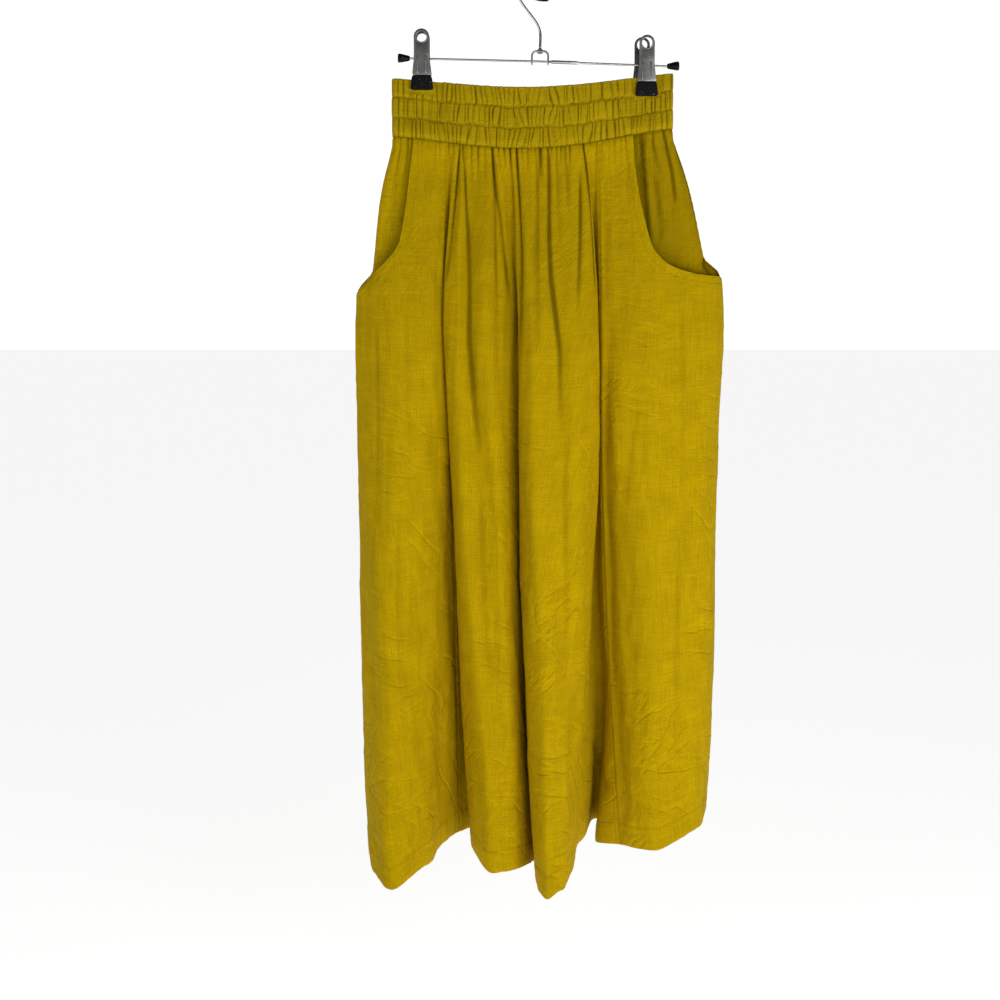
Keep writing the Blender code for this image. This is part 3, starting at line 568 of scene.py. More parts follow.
@dataclass(frozen=True)
class Linen:
    """Woven linen with slubs, mottled colour and topstitching, and shade painted into it from its shade map
    and beside its stitches.
    """

    title: str
    light: Colour = (0.60, 0.394, 0.0012)
    dark: Colour = (0.325, 0.209, 0.001)
    thread: float = 0.62  # pitch of the threads
    stitch: float = 3.0  # pitch of the topstitching
    wear: Line = ((0.6, 26.0), (-0.8, 37.0), (1.35, 30.0))  # direction and scale of each set of wear creases
    sewing: Sewing = Sewing()

    def stitches(self, kit: NodeKit) -> tuple[Socket, Socket]:
        """Rows of stitches from the sewing maps.

        Args:
            kit: The material's nodes.

        Returns:
            Where thread lies, and where the cloth is drawn down beside it, both from 0 to 1.
        """
        across, down = kit.uv("weave")
        hem, rim = kit.uv("hem_rim")
        first, last = kit.uv("seams")
        thread = drawn = None
        rows = [(hem, d, across) for d in self.sewing.hem]
        rows += [(rim, d, down + across) for d in self.sewing.rim]
        rows += [(first, d, down) for d in self.sewing.first_seam]
        rows += [(last, d, down) for d in self.sewing.last_seam]
        for distance, offset, run in rows:
            off = abs(distance - offset * MM)
            dash = (run / (self.stitch * MM)).fraction()
            gap = abs(dash - 0.5).step(0.30, 0.44)
            line = (1 - off.step(0.15 * MM, 0.5 * MM)) * (1 - gap)
            groove = 1 - off.step(0.2 * MM, 1.6 * MM)
            thread = line if thread is None else thread.highest(line)
            drawn = groove if drawn is None else drawn.highest(groove)
        if thread is None:
            zero = across * 0.0
            return zero, zero
        return thread, drawn

    def crumple(self, kit: NodeKit, across: Socket, down: Socket) -> Socket:
        """Fine wear creases in the linen, more of them lower down.

        Args:
            kit: The material's nodes.
            across: The map's way across the cloth, in metres.
            down: The map's way down the cloth, in metres.

        Returns:
            Height of the cloth, 0 along a crease and 1 away from it.
        """
        low = down.step(0.12, 0.62) * 0.65 + 0.35
        height = None
        for turn, scale in self.wear:
            off = across * math.cos(turn) - down * math.sin(turn)
            run = across * math.sin(turn) + down * math.cos(turn)
            waved = kit.noise(kit.spot(off * scale, run * scale * 0.34, turn), 1.0, 3.0, 0.5)
            patch = kit.noise(kit.spot(across * 13.0, down * 9.0, turn * 7), 1.0, 1.0).step(0.42, 0.66)
            crease = (1 - abs(waved - 0.5).step(0.0, 0.055)) * patch * low
            height = crease if height is None else height.highest(crease)
        return 1 - height

    def make(self) -> bpy.types.Material:
        """Build the material.

        Returns:
            The material.
        """
        kit = NodeKit(self.title)
        across, down = kit.uv("weave")
        where = kit.spot(across, down)
        warp_slub = kit.noise(kit.spot(across * 900.0, down * 26.0), 1.0, 3.0, 0.6)
        weft_slub = kit.noise(kit.spot(across * 30.0, down * 820.0), 1.0, 3.0, 0.6)
        mottle = kit.noise(where, 34.0, 4.0, 0.6)
        turn = 2 * math.pi / (self.thread * MM)
        drift = (kit.noise(where, 55.0, 2.0) - 0.5) * 5.0
        weave = (across * turn + drift).sine() * (down * turn * 0.94 + drift).sine()
        thread, drawn = self.stitches(kit)
        grain = kit.noise(where, 760.0, 2.0, 0.75)
        shade = mottle.step(0.30, 0.72) * 0.20 + warp_slub.step(0.32, 0.7) * 0.30 + 0.06
        shade = shade + weft_slub.step(0.32, 0.7) * 0.30 + (grain.step(0.3, 0.7) - 0.5) * 0.55
        folds = self.crumple(kit, across, down)
        cloth_colour = kit.colour(shade, self.dark, self.light)
        # Painted shade: the piece's own shade map darkens the cloth towards a very dark tone in its valleys,
        # under seams and wherever the map marks it.
        hollow, _ = kit.uv("hollow")
        cloth_colour = kit.colour(hollow * 0.85, cloth_colour, shaded(self.dark, 0.34))
        cloth_colour = kit.colour((1 - folds) * 0.12, cloth_colour, shaded(self.light, 1.25))
        # Painted shade in the groove that the cloth is drawn into beside each row of stitches.
        cloth_colour = kit.colour(drawn * 0.12, cloth_colour, shaded(self.dark, 0.62))
        cloth_colour = kit.colour(thread * 0.35, cloth_colour, shaded(self.light, 1.12))
        relief = weave * 0.10 + warp_slub * 0.30 + weft_slub * 0.30
        fine = kit.bump(relief, 0.25 * MM, kit.bump(folds, 1.0 * MM))
        sewn = kit.bump(thread * 0.55 - drawn * 0.8, 0.5 * MM, fine)
        kit.dress(Base_Color=cloth_colour, Normal=sewn, Roughness=0.95 - warp_slub * 0.1, **LINEN_GLOSS)
        return kit.material


@dataclass(frozen=True)
class LinenRoll(Linen):
    """The same linen on narrow rolled edges, patterned by place and not by a map."""

    def make(self) -> bpy.types.Material:
        """Build the material.

        Returns:
            The material.
        """
        kit = NodeKit(self.title)
        place = kit.place()
        slub = kit.noise(place, 700.0, 3.0, 0.6)
        mottle = kit.noise(place, 40.0, 2.0)
        cloth_colour = kit.colour(slub.step(0.3, 0.7) * 0.5 + mottle.step(0.3, 0.7) * 0.5, self.dark, self.light)
        kit.dress(Base_Color=cloth_colour, Roughness=0.9 - slub * 0.1, Normal=kit.bump(slub, 0.2 * MM), **LINEN_GLOSS)
        return kit.material


@dataclass(frozen=True)
class Steel:
    """Polished or satin steel with fine handling marks."""

    title: str
    tone: Colour = (0.60, 0.60, 0.585)
    rough: float = 0.22

    def make(self) -> bpy.types.Material:
        """Build the material.

        Returns:
            The material.
        """
        kit = NodeKit(self.title)
        place = kit.place()
        cloud = kit.noise(place, 160.0, 3.0)
        streak_at = kit.node("ShaderNodeMapping", {}, {"Vector": place, "Scale": (2600.0, 2600.0, 120.0)})
        streak = kit.noise(streak_at, 1.0, 2.0)
        shade = cloud.step(0.3, 0.7) * 0.6 + streak.step(0.35, 0.65) * 0.4
        colour = kit.colour(shade, shaded(self.tone, 0.82), self.tone)
        kit.dress(
            Base_Color=colour, Metallic=1.0, Roughness=cloud * 0.14 + (self.rough - 0.07),
            Normal=kit.bump(streak * 0.4 + cloud * 0.6, 0.02 * MM),
        )
        return kit.material


@dataclass(frozen=True)
class Rubber:
    """Black moulded rubber, slightly glossy, with a fine pebble, pale dust and tiny grey specks painted on as
    glints.
    """

    title: str
    tone: Colour = (0.0025, 0.0025, 0.003)
    rough: float = 0.5

    def make(self) -> bpy.types.Material:
        """Build the material.

        Returns:
            The material.
        """
        kit = NodeKit(self.title)
        place = kit.place()
        pebble = kit.noise(place, 1900.0, 2.0)
        dust = kit.noise(place, 420.0, 4.0, 0.7)
        painted_glint = kit.noise(place, 900.0, 1.0)
        colour = kit.colour(dust.step(0.56, 0.78), self.tone, shaded(self.tone, 3.0))
        # Painted highlight: tiny grey specks stand in for glints off the rubber.
        colour = kit.colour(painted_glint.step(0.73, 0.77), colour, (0.45, 0.45, 0.44))
        kit.dress(
            Base_Color=colour, Roughness=dust * 0.22 + (self.rough - 0.1),
            Normal=kit.bump(pebble, 0.06 * MM), Specular_IOR_Level=0.12,
        )
        return kit.material


@dataclass(frozen=True)
class Plaster:
    """Plain pale backdrop."""

    title: str = "pale_floor"

    def make(self) -> bpy.types.Material:
        """Build the material.

        Returns:
            The material.
        """
        kit = NodeKit(self.title)
        kit.dress(Base_Color=(0.93, 0.93, 0.93, 1), Roughness=0.95, Specular_IOR_Level=0.1,
                  Emission_Color=(1, 1, 1, 1), Emission_Strength=0.78)
        return kit.material


# ------------ workshop
class Bench:
    """Making and finishing of meshes with Blender's own operators."""

    @staticmethod
    def clear() -> None:
        """Deselect everything."""
        if bpy.context.object and bpy.context.object.mode != "OBJECT":
            bpy.ops.object.mode_set(mode="OBJECT")
        bpy.ops.object.select_all(action="DESELECT")

    @classmethod
    def take(cls, piece: Piece) -> None:
        """Make one piece the only selected and active one."""
        cls.clear()
        piece.select_set(True)
        bpy.context.view_layer.objects.active = piece

    @classmethod
    def name(cls, title: str) -> Piece:
        """Name the piece that an operator has just made."""
        piece = bpy.context.active_object
        piece.name = title
        piece.data.name = title
        return piece

    @classmethod
    def settle(cls, piece: Piece) -> None:
        """Put a piece's place, turn and size into its mesh."""
        cls.take(piece)
        bpy.ops.object.transform_apply(location=True, rotation=True, scale=True)

    @classmethod
    def finish(cls, piece: Piece, kind: str, **settings: object) -> None:
        """Add one modifier and apply it.

        Args:
            piece: The piece that it shapes.
            kind: The modifier's type.
            settings: Its settings.
        """
        cls.take(piece)
        made = piece.modifiers.new(kind.lower(), kind)
        for name, value in settings.items():
            setattr(made, name, value)
        bpy.ops.object.modifier_apply(modifier=made.name)

    @classmethod
    def join(cls, title: str, pieces: Sequence[Piece]) -> Piece:
        """Join pieces into one.

        Args:
            title: The name of what they become.
            pieces: The pieces.

        Returns:
            The joined piece.
        """
        cls.clear()
        for piece in pieces:
            piece.select_set(True)
        bpy.context.view_layer.objects.active = pieces[0]
        bpy.ops.object.join()
        return cls.name(title)

    @classmethod
    def outward(cls, piece: Piece, merge: float = 0.00002) -> Piece:
        """Merge doubles and turn a closed shell's faces outwards.

        Args:
            piece: The shell.
            merge: Distance in metres under which two points become one.

        Returns:
            The same piece.
        """
        cls.take(piece)
        bpy.ops.object.mode_set(mode="EDIT")
        bpy.ops.mesh.select_all(action="SELECT")
        bpy.ops.mesh.remove_doubles(threshold=merge)
        bpy.ops.mesh.normals_make_consistent(inside=False)
        bpy.ops.object.mode_set(mode="OBJECT")
        return piece

    @classmethod
    def soften(cls, piece: Piece, angle: float = 40.0) -> Piece:
        """Smooth shading that keeps edges sharper than an angle."""
        cls.take(piece)
        bpy.ops.object.shade_smooth_by_angle(angle=math.radians(angle))
        return piece

    @staticmethod
    def shape(piece: Piece, points: Grid) -> None:
        """Give a mesh its points, in millimetres."""
        piece.data.vertices.foreach_set("co", (points.reshape(-1, 3) * MM).astype(np.float32).ravel())
        piece.data.update()

    @staticmethod
    def chart(piece: Piece, title: str, values: Grid) -> None:
        """Give a mesh one map.

        Args:
            piece: The piece.
            title: The map's name.
            values: Two coordinates for each of its points.
        """
        data = piece.data
        corners = np.empty(len(data.loops), np.int64)
        data.loops.foreach_get("vertex_index", corners)
        layer = data.uv_layers.get(title) or data.uv_layers.new(name=title)
        layer.data.foreach_set("uv", values.reshape(-1, 2)[corners].astype(np.float32).ravel())

    @classmethod
    def sheet(cls, title: str, points: Grid, charts: dict[str, Grid]) -> Piece:
        """A sheet of cloth shaped from a flat grid.

        Args:
            title: The piece's name.
            points: Its points in millimetres, in rows from the top down.
            charts: Its maps, in the same rows, in metres.

        Returns:
            The sheet, one face thick.
        """
        rows, columns = points.shape[:2]
        cls.clear()
        bpy.ops.mesh.primitive_grid_add(x_subdivisions=columns - 1, y_subdivisions=rows - 1, size=1)
        piece = cls.name(title)
        if len(piece.data.vertices) != rows * columns:
            raise ValueError(f"{title}: the grid has {len(piece.data.vertices)} points")
        cls.shape(piece, points[::-1])
        for layer in list(piece.data.uv_layers):
            piece.data.uv_layers.remove(layer)
        for name, values in charts.items():
            cls.chart(piece, name, values[::-1])
        return piece

    @classmethod
    def wire(cls, title: str, path: Sequence, radii: Row, sides: int = 5) -> Piece:
        """A round wire.

        Args:
            title: The piece's name.
            path: Points along it, in millimetres.
            radii: Its radius at each point.
            sides: Steps in a quarter of its round.

        Returns:
            The wire, closed at its ends.
        """
        cls.clear()
        bpy.ops.curve.primitive_bezier_curve_add()
        piece = bpy.context.active_object
        curve = piece.data
        curve.splines.clear()
        curve.dimensions = "3D"
        curve.bevel_depth = MM
        curve.bevel_resolution = sides
        curve.use_fill_caps = True
        line = curve.splines.new("POLY")
        line.points.add(len(path) - 1)
        for point, place, radius in zip(line.points, path, radii):
            point.co = (*(Vector(place) * MM), 1)
            point.radius = radius
        cls.take(piece)
        bpy.ops.object.convert(target="MESH")
        piece = cls.name(title)
        return cls.outward(piece, 0.000005)

    @classmethod
    def turned(
        cls, title: str, profile: Line, centre: Row, axis: Row, steps: int = 40
    ) -> Piece:
        """A turned piece.

        Args:
            title: The piece's name.
            profile: Its (radius, along) outline in millimetres, from the axis round to the axis.
            centre: Where its axis starts.
            axis: The axis's direction.
            steps: Faces in its round.

        Returns:
            The piece.
        """
        cls.clear()
        bpy.ops.mesh.primitive_circle_add(vertices=len(profile), radius=MM)
        piece = cls.name(title)
        for vertex, (radius, run) in zip(piece.data.vertices, profile):
            vertex.co = (radius * MM, 0, run * MM)
            vertex.select = vertex.index in (0, len(profile) - 1)
        for edge in piece.data.edges:
            edge.select = set(edge.vertices) == {0, len(profile) - 1}
        bpy.ops.object.mode_set(mode="EDIT")
        bpy.ops.mesh.delete(type="EDGE")
        cls.finish(piece, "SCREW", steps=steps, render_steps=steps, axis="Z", use_merge_vertices=True,
                   merge_threshold=0.000002)
        cls.outward(piece)
        piece.rotation_mode = "QUATERNION"
        piece.rotation_quaternion = Vector((0, 0, 1)).rotation_difference(Vector(axis))
        piece.location = Vector(centre) * MM
        cls.settle(piece)
        return cls.soften(piece, 50)

    @staticmethod
    def declare(piece: Piece, finish: Linen | Steel | Rubber, slot: str, *nodes: str) -> None:
        """Give a piece its finish, attach it to the root and hide the solids that it stands for.

        Args:
            piece: The piece.
            finish: What it is made of.
            slot: Its kind of material; not used.
            nodes: The solids that it stands for.
        """
        piece.data.materials.clear()
        piece.data.materials.append(finish.make())
        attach(piece, ROOT)
        if nodes:
            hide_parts(*nodes)


# ------------ relief of the cloth
class Crease(NamedTuple):
    """A soft valley, or a ridge where its depth is negative, along a line seen from the front or back."""

    path: Line  # (across, height) in millimetres, from its top down
    depth: float
    width: float
    fade: float = 22.0  # length over which each of its ends dies away
    side: int = -1  # -1 on the skirt's front, 1 on its back


CENTRE_CREASES = tuple(Crease(*row) for row in (
    (((-82.1, -185), (-83.4, -214)), 2.6, 1.5, 14),
    (((-88, -190), (-88.6, -206)), -1.6, 2, 9),
    (((-82, -190), (-81, -212), (-76.5, -284), (-74.6, -400), (-66, -510)), 2.1, 2.6, 90),
    (((-52.5, -186), (-48.5, -222), (-42, -262), (-37.3, -308), (-32.2, -345)), 3, 2.1, 50),
    (((-50, -215), (-46.6, -262), (-45.6, -350), (-45.4, -450)), 1.9, 3, 60),
    (((-47.5, -190), (-43, -224), (-37, -250)), -1.4, 3, 30),
    (((-33, -188), (-31.5, -208)), 2.4, 1.6, 14),
    (((-25.6, -186), (-23, -240), (-20.8, -300), (-21.6, -400)), 3.6, 2.2, 50),
    (((-17, -240), (-14, -320), (-15, -400)), -1.4, 4, 60),
    (((-1.6, -188), (0.9, -230)), 2.6, 1.7, 20),
    (
        ((8.9, -188), (9.6, -228), (9.4, -290), (10.8, -330), (16.5, -374), (20.5, -410), (21.5, -470)),
        3.0, 2.8, 110,
    ),
    (((3, -210), (4, -290), (4.6, -340), (6, -420)), -1.5, 3.4, 60),
    (((0.6, -188), (3, -232), (3.6, -270)), 2.2, 1.8, 34),
    (((24, -188), (24.6, -206)), 2, 1.6, 14),
    (((42.4, -186), (43.4, -230), (42.6, -290), (40.6, -360)), 2.2, 2.1, 70),
    (((45, -186), (47.4, -200), (55, -259), (60, -340)), 3.2, 1.8, 36),
    (((39.5, -190), (41.8, -205), (49, -262), (54, -330)), -1.8, 3.4, 36),
    (((51, -190), (51.5, -212)), 1.8, 1.4, 14),
    (((-84.8, -188), (-88.4, -225), (-93.4, -268), (-99.5, -330)), 3, 1.8, 30),
    (((-83, -215), (-84.6, -255), (-88, -320)), -1.6, 2.6, 40),
    (((-76.8, -360), (-76.1, -398.5), (-71.5, -463.3), (-61, -525)), 1.3, 5, 60),
    (((-46.5, -350), (-45.9, -450), (-44, -570)), -1.3, 7, 80),
    (((2, -270), (3.6, -313), (4.4, -400)), -1.1, 4, 50),
    (((-63, -560), (-59, -660), (-52, -780)), 1.2, 6, 80),
    (((-30, -260), (-34, -330), (-36, -400)), 1.1, 5, 55),
    (((26, -560), (29, -680), (27, -800), (24, -900)), 1.3, 6.5, 90),
    (((-14, -640), (-9, -760), (-5, -880)), -1, 6, 90),
    (((51, -832), (66, -862), (75.5, -899)), 1.4, 3.4, 16),
    (((60, -810), (70, -842), (79, -870)), -0.9, 3.6, 16),
))
LEFT_CREASES = tuple(Crease(*row) for row in (
    (
        ((-115.4, -470), (-116, -618.5), (-122.8, -685), (-122.2, -788), (-126, -882), (-122, -960)),
        1.1, 8.0, 90,
    ),
    (((-173.5, -400), (-174.3, -496.5), (-180, -668.7), (-182.1, -788), (-184.8, -880)), 1.1, 5, 80),
    (((-143, -372), (-141, -470), (-138, -560)), 0.9, 6.5, 70),
    (((-124, -196), (-123, -262), (-122, -330)), 0.8, 4, 45),
    (((-152, -600), (-150, -720), (-147, -840)), 0.9, 7, 90),
))
RIGHT_CREASES = tuple(Crease(*row) for row in (
    (((72.4, -560), (81.2, -655.5), (81.9, -740), (91, -820)), 1, 3.4, 60),
    (((92, -196), (93, -240), (96, -300)), 0.8, 3.4, 40),
    (((84, -190), (86, -220)), 0.8, 2.4, 22),
    (((104, -470), (104, -600), (108, -720)), -0.8, 6, 90),
    (((152, -360), (153, -480), (156, -620)), 0.9, 7, 90),
    (((68, -905.2), (80, -903), (92, -905.2)), 0.5, 1.6, 3),
    (((150, -640), (148, -760), (150, -880)), 0.9, 6, 90),
))
BACK_CREASES = tuple(Crease(*row) for row in (
    (((-30, -300), (-28, -420), (-34, -560)), 1.2, 6, 80, 1),
    (((82, -420), (84, -560), (80, -700)), 1.2, 6, 90, 1),
    (((26, -560), (24, -700), (27, -860)), 1.2, 6.5, 90, 1),
    (((-90, -330), (-90, -480), (-94, -640)), 1.1, 6, 90, 1),
    (((142, -380), (143, -520), (140, -640)), 1, 6, 80, 1),
    (((-145, -620), (-147, -760), (-145, -880)), 1.1, 6, 90, 1),
))
# At a crease's top and at its foot, as shares of its own.
CREASE_WIDTHS, CREASE_DEPTHS = (0.75, 1.55), (1.1, 0.6)
GATHER_LENGTHS = (9, 12, 16, 22, 30, 44, 70, 120)
SEAM_DRAWN, SEAM_PUCKER = 0.75, 0.34
HEM_THICK, HEM_PUCKER = 0.25, 0.28


@dataclass
class Relief:
    """Fine shape of one panel's cloth, as heights over its plain surface.

    Everything is worked out on the panel's grid of points, in millimetres.
    """

    points: Grid
    down: Grid  # way down the cloth from the waistband's seam
    across: Grid  # way across the cloth from its first seam
    normals: Grid
    seed: int
    even: Grid | None = None  # way across as the folds run, where they fan out

    def __post_init__(self) -> None:
        """Start the fixed random row and an even height."""
        self.random = random.Random(self.seed)
        self.even = self.across if self.even is None else self.even
        self.lift = np.zeros(self.down.shape)

    def creases(self, rows: Sequence[Crease]) -> None:
        """Press the listed creases.

        Args:
            rows: The creases.
        """
        x, z = self.points[..., 0], self.points[..., 2]
        for crease in rows:
            path = sorted(crease.path, key=lambda place: place[1])
            heights = [place[1] for place in path]
            middle = np.interp(z, heights, [place[0] for place in path])
            ends = smooth((z - heights[0]) / crease.fade + 0.5) * smooth((heights[-1] - z) / crease.fade + 0.5)
            faces = smooth((self.normals[..., 1] * crease.side - 0.1) / 0.3)
            run = np.clip((heights[-1] - z) / (heights[-1] - heights[0]), 0, 1)
            width, depth = crease.width * mix(*CREASE_WIDTHS, run), crease.depth * mix(*CREASE_DEPTHS, run)
            self.lift -= depth * bell(x - middle, width) * ends * faces

    def gathers(self, pitch: float, depth: float, narrow: float, calm: Grid | float = 1.0) -> None:
        """Hang soft uneven gathers from the waistband.

        Args:
            pitch: Mean distance between valleys along the seam.
            depth: Mean depth of a valley at the seam.
            narrow: Half width of a valley at the seam.
            calm: Share of the depth that each place keeps.
        """
        columns = np.arange(self.across.shape[1])
        top = self.across[0]
        at, end = top[0] + pitch * 0.4, top[-1] - 1.5
        rows = np.arange(len(self.down))[:, None]
        while at < end:
            column = np.interp(at, top, columns)
            wander = self.random.uniform(-1.3, 1.3) / max(top[1] - top[0], 0.5)
            long = self.random.choice(GATHER_LENGTHS) * self.random.uniform(0.8, 1.25)
            deep = depth * self.random.uniform(0.6, 1.3) * (0.75 + 0.25 * min(long / 30, 1))
            place = np.clip(column + wander * np.minimum(self.down / 50, 1.6), 0, len(columns) - 1.001)
            low = place.astype(int)
            middle = mix(self.across[rows, low], self.across[rows, low + 1], place - low)
            width = narrow + 0.05 * np.minimum(self.down, 120)
            body = bell(self.across - middle, width) - 0.4 * bell(self.across - middle, width * 2.4)
            self.lift -= deep * body * np.exp(-((self.down / long) ** 1.3)) * calm
            at += pitch * self.random.uniform(0.6, 1.45)

    def crumple(self, count: int, depth: float, down: Pair) -> None:
        """Press short creases at random.

        Args:
            count: How many creases.
            depth: Mean depth of a crease.
            down: The part of the cloth's length that they lie in.
        """
        low, high = float(self.across.min()), float(self.across.max())
        for _ in range(count):
            a = self.random.uniform(low, high)
            d = self.random.uniform(*down)
            angle = self.random.choice((-1, 1)) * self.random.uniform(0.05, 0.95)
            wide, long = self.random.uniform(4.5, 8.0), self.random.uniform(14, 40)
            deep = depth * self.random.uniform(0.4, 1.5) * self.random.choice((-0.7, 1, 1))
            off = (self.across - a) * math.cos(angle) - (self.down - d) * math.sin(angle)
            run = (self.across - a) * math.sin(angle) + (self.down - d) * math.cos(angle)
            self.lift -= deep * (bell(off, wide) - 0.45 * bell(off, wide * 2.3)) * bell(run, long)

    def hollows(self) -> Grid:
        """How far each place lies below the cloth beside it, which sets the shade painted there.

        Returns:
            From 0 where it doesn't to 1 deep in a valley.
        """
        reach = 7
        wide = np.pad(self.lift, ((0, 0), (reach, reach)), mode="edge")
        mean = sum(wide[:, n:n + self.lift.shape[1]] for n in range(2 * reach + 1)) / (2 * reach + 1)
        return np.clip((mean - self.lift - 0.08) / 1.5, 0, 1)

    def waves(self, height: float, across: Pair, down: Pair, count: int) -> None:
        """Add slow uneven waves.

        Args:
            height: Height of all the waves together.
            across: Shortest and longest wave across the cloth.
            down: Shortest and longest wave down the cloth.
            count: How many waves.
        """
        for _ in range(count):
            a = 2 * math.pi / self.random.uniform(*across)
            b = 2 * math.pi / self.random.uniform(*down) * self.random.choice((-1, 1))
            turn = self.random.uniform(0, 2 * math.pi)
            wave = np.sin(self.even * a + self.down * b + turn)
            self.lift += height / math.sqrt(count) * wave * smooth(self.down / 60)

    def seam(self, distance: Grid, pucker: float) -> None:
        """Draw the cloth in along a seam, with puckers beside it.

        Args:
            distance: Way of each place from the seam.
            pucker: Height of the puckers.
        """
        self.lift -= SEAM_DRAWN * bell(distance, 1.5)
        ripple = np.sin(self.down * 0.74 + 1.3 * np.sin(self.down * 0.11))
        ripple *= np.sin(self.down * 0.031 + self.seed)
        self.lift += pucker * ripple * bell(distance, 6.0) * smooth(distance / 1.5)

    def hem(self, distance: Grid, depth: float) -> None:
        """Thicken the turned-up hem, with soft puckers along its stitches.

        Args:
            distance: Way of each place from the hem's edge.
            depth: Depth of what is turned up.
        """
        turned = 1 - smooth((distance - depth + 0.6) / 1.2)
        self.lift += HEM_THICK * turned - 0.2 * bell(distance - depth, 1.2)
        ripple = np.sin(self.across * 0.62 + 1.7 * np.sin(self.across * 0.083 + self.seed))
        self.lift += HEM_PUCKER * ripple * bell(distance - depth, 7.0)
        self.lift -= 0.35 * bell(distance, 1.4)


# ------------ the skirt's cloth
@dataclass
class Panel:
    """One gathered panel of the skirt."""

    form: SkirtForm
    title: str
    node: str
    first: str
    last: str
    size: tuple[int, int]  # rows and columns of its grid
    flat: Pair  # cut width and length in metres
    area: float  # the cut's area in square metres
    finish: Linen
    seed: int
    creases: tuple[Crease, ...] = ()
    rim: Line = ()  # a pocket's mouth, cut from its outer corner
    gather_pitch: float = 6.6
    gather_depth: float = 2.4
    gather_narrow: float = 1.15
    points: Grid = field(init=False)
    normals: Grid = field(init=False)
    down: Grid = field(init=False)  # way down the cloth from the waistband's seam
    across: Grid = field(init=False)  # way across the cloth
    even: Grid = field(init=False)  # way across as the folds run
    first_way: Grid = field(init=False)  # way from the first seam
    last_way: Grid = field(init=False)  # way from the last seam
    hem_way: Grid = field(init=False)  # way from the hem's edge
    rim_way: Grid = field(init=False)  # way from the pocket's mouth
    edge: Grid = field(init=False)  # points along the pocket's mouth
    hollow: Grid = field(init=False)  # painted shade at each place, from 0 to 1: deepest in narrow valleys, just under the waistband's seam and over the upper part

    @property
    def outer(self) -> int:
        """Which way the pocket's mouth lies from the panel: -1 to the left, 1 to the right."""
        return -1 if self.rim[0][0] < 0 else 1

    def spaced(self, count: int) -> Grid:
        """Where the panel has its rows, which lie closer at its two ends and at the rim.

        Args:
            count: How many rows.

        Returns:
            Shares of the way down.
        """
        way = np.linspace(0, SKIRT_DROP, 1500)
        step = 1.4 + 3.5 * smooth(way / 170) - 2.2 * smooth((way - SKIRT_DROP + 110) / 100)
        total = np.r_[0, np.cumsum(1 / step)[:-1]]
        if self.rim:
            edge = self.form.surface(self.outermost(way / SKIRT_DROP), way / SKIRT_DROP)
            steps = np.linalg.norm(np.diff(edge, axis=0), axis=1) * (edge[1:, 2] > self.rim[-1][1] - 4)
            total[1:] += np.cumsum(steps) * 0.8
        return np.interp(np.linspace(0, total[-1], count), total, way / SKIRT_DROP)

    def rim_curve(self) -> Grid:
        """The pocket's mouth as a smooth line.

        Returns:
            Its (across, height) points, from its top down.
        """
        line = np.array(self.rim, float)
        for _ in range(4):
            cut = np.repeat(line, 2, axis=0)[1:-1].reshape(-1, 2, 2)
            soft = np.stack([mix(cut[:, 0], cut[:, 1], 0.25), mix(cut[:, 0], cut[:, 1], 0.75)], axis=1)
            line = np.concatenate([line[:1], soft.reshape(-1, 2), line[-1:]])
        return line

    def outermost(self, shares: Grid) -> Grid:
        """Places along the ring where the cloth ends, at the rim or the side seam.

        Args:
            shares: Shares of the way down from the waistband.

        Returns:
            One place for each share.
        """
        ends = (self.form.place[self.last], self.form.place[self.first])
        inner, outer = ends if self.outer < 0 else ends[::-1]
        fine = np.linspace(inner, outer, 700)
        spots = self.form.surface(fine[None, :], shares[:, None])
        line = self.rim_curve()
        limit = np.interp(-spots[..., 2], -line[:, 1], line[:, 0])
        beyond = np.where(spots[..., 2] < line[-1, 1], -1.0, self.outer * (spots[..., 0] - limit))
        first = np.maximum(np.argmax(beyond > 0, axis=1), 1)
        rows = np.arange(len(shares))
        near, far = beyond[rows, first - 1], beyond[rows, first]
        part = np.clip(-near / np.where(far == near, 1, far - near), 0, 1)
        found = mix(fine[first - 1], fine[first], part)
        return np.where((beyond > 0).any(axis=1), found, outer)

    def places(self, shares: Grid) -> Grid:
        """Places along the ring of the panel's columns.

        Args:
            shares: Shares of the way down at which it has its rows.

        Returns:
            The places in each row, or one row of them that holds for all.
        """
        first, last = self.form.place[self.first], self.form.place[self.last]
        fine = np.linspace(first, last, 1600)
        even = np.linspace(0, 1, self.size[1])
        if not self.rim:
            total = sum(line_run(self.form.plan(fine, level)) for level in (0.03, 0.25, 0.65))
            return np.interp(even * total[-1], total, fine)[None, :]
        ends = self.outermost(shares)
        found = []
        for share, end in zip(shares, ends):
            total = line_run(self.form.plan(fine, share))
            stop = np.interp(end, fine, total)
            low, high = (stop, total[-1]) if self.outer < 0 else (0.0, stop)
            found.append(np.interp(mix(low, high, even), total, fine))
        return np.array(found)

    @staticmethod
    def reach(points: Grid, edge: Grid) -> Grid:
        """Distance from an edge.

        Args:
            points: The grid of points.
            edge: Points along the edge.

        Returns:
            The distance of each point of the grid from the nearest one of the edge.
        """
        near = np.full(points.shape[:2], FAR)
        for place in edge:
            near = np.minimum(near, np.linalg.norm(points - place, axis=2))
        return near

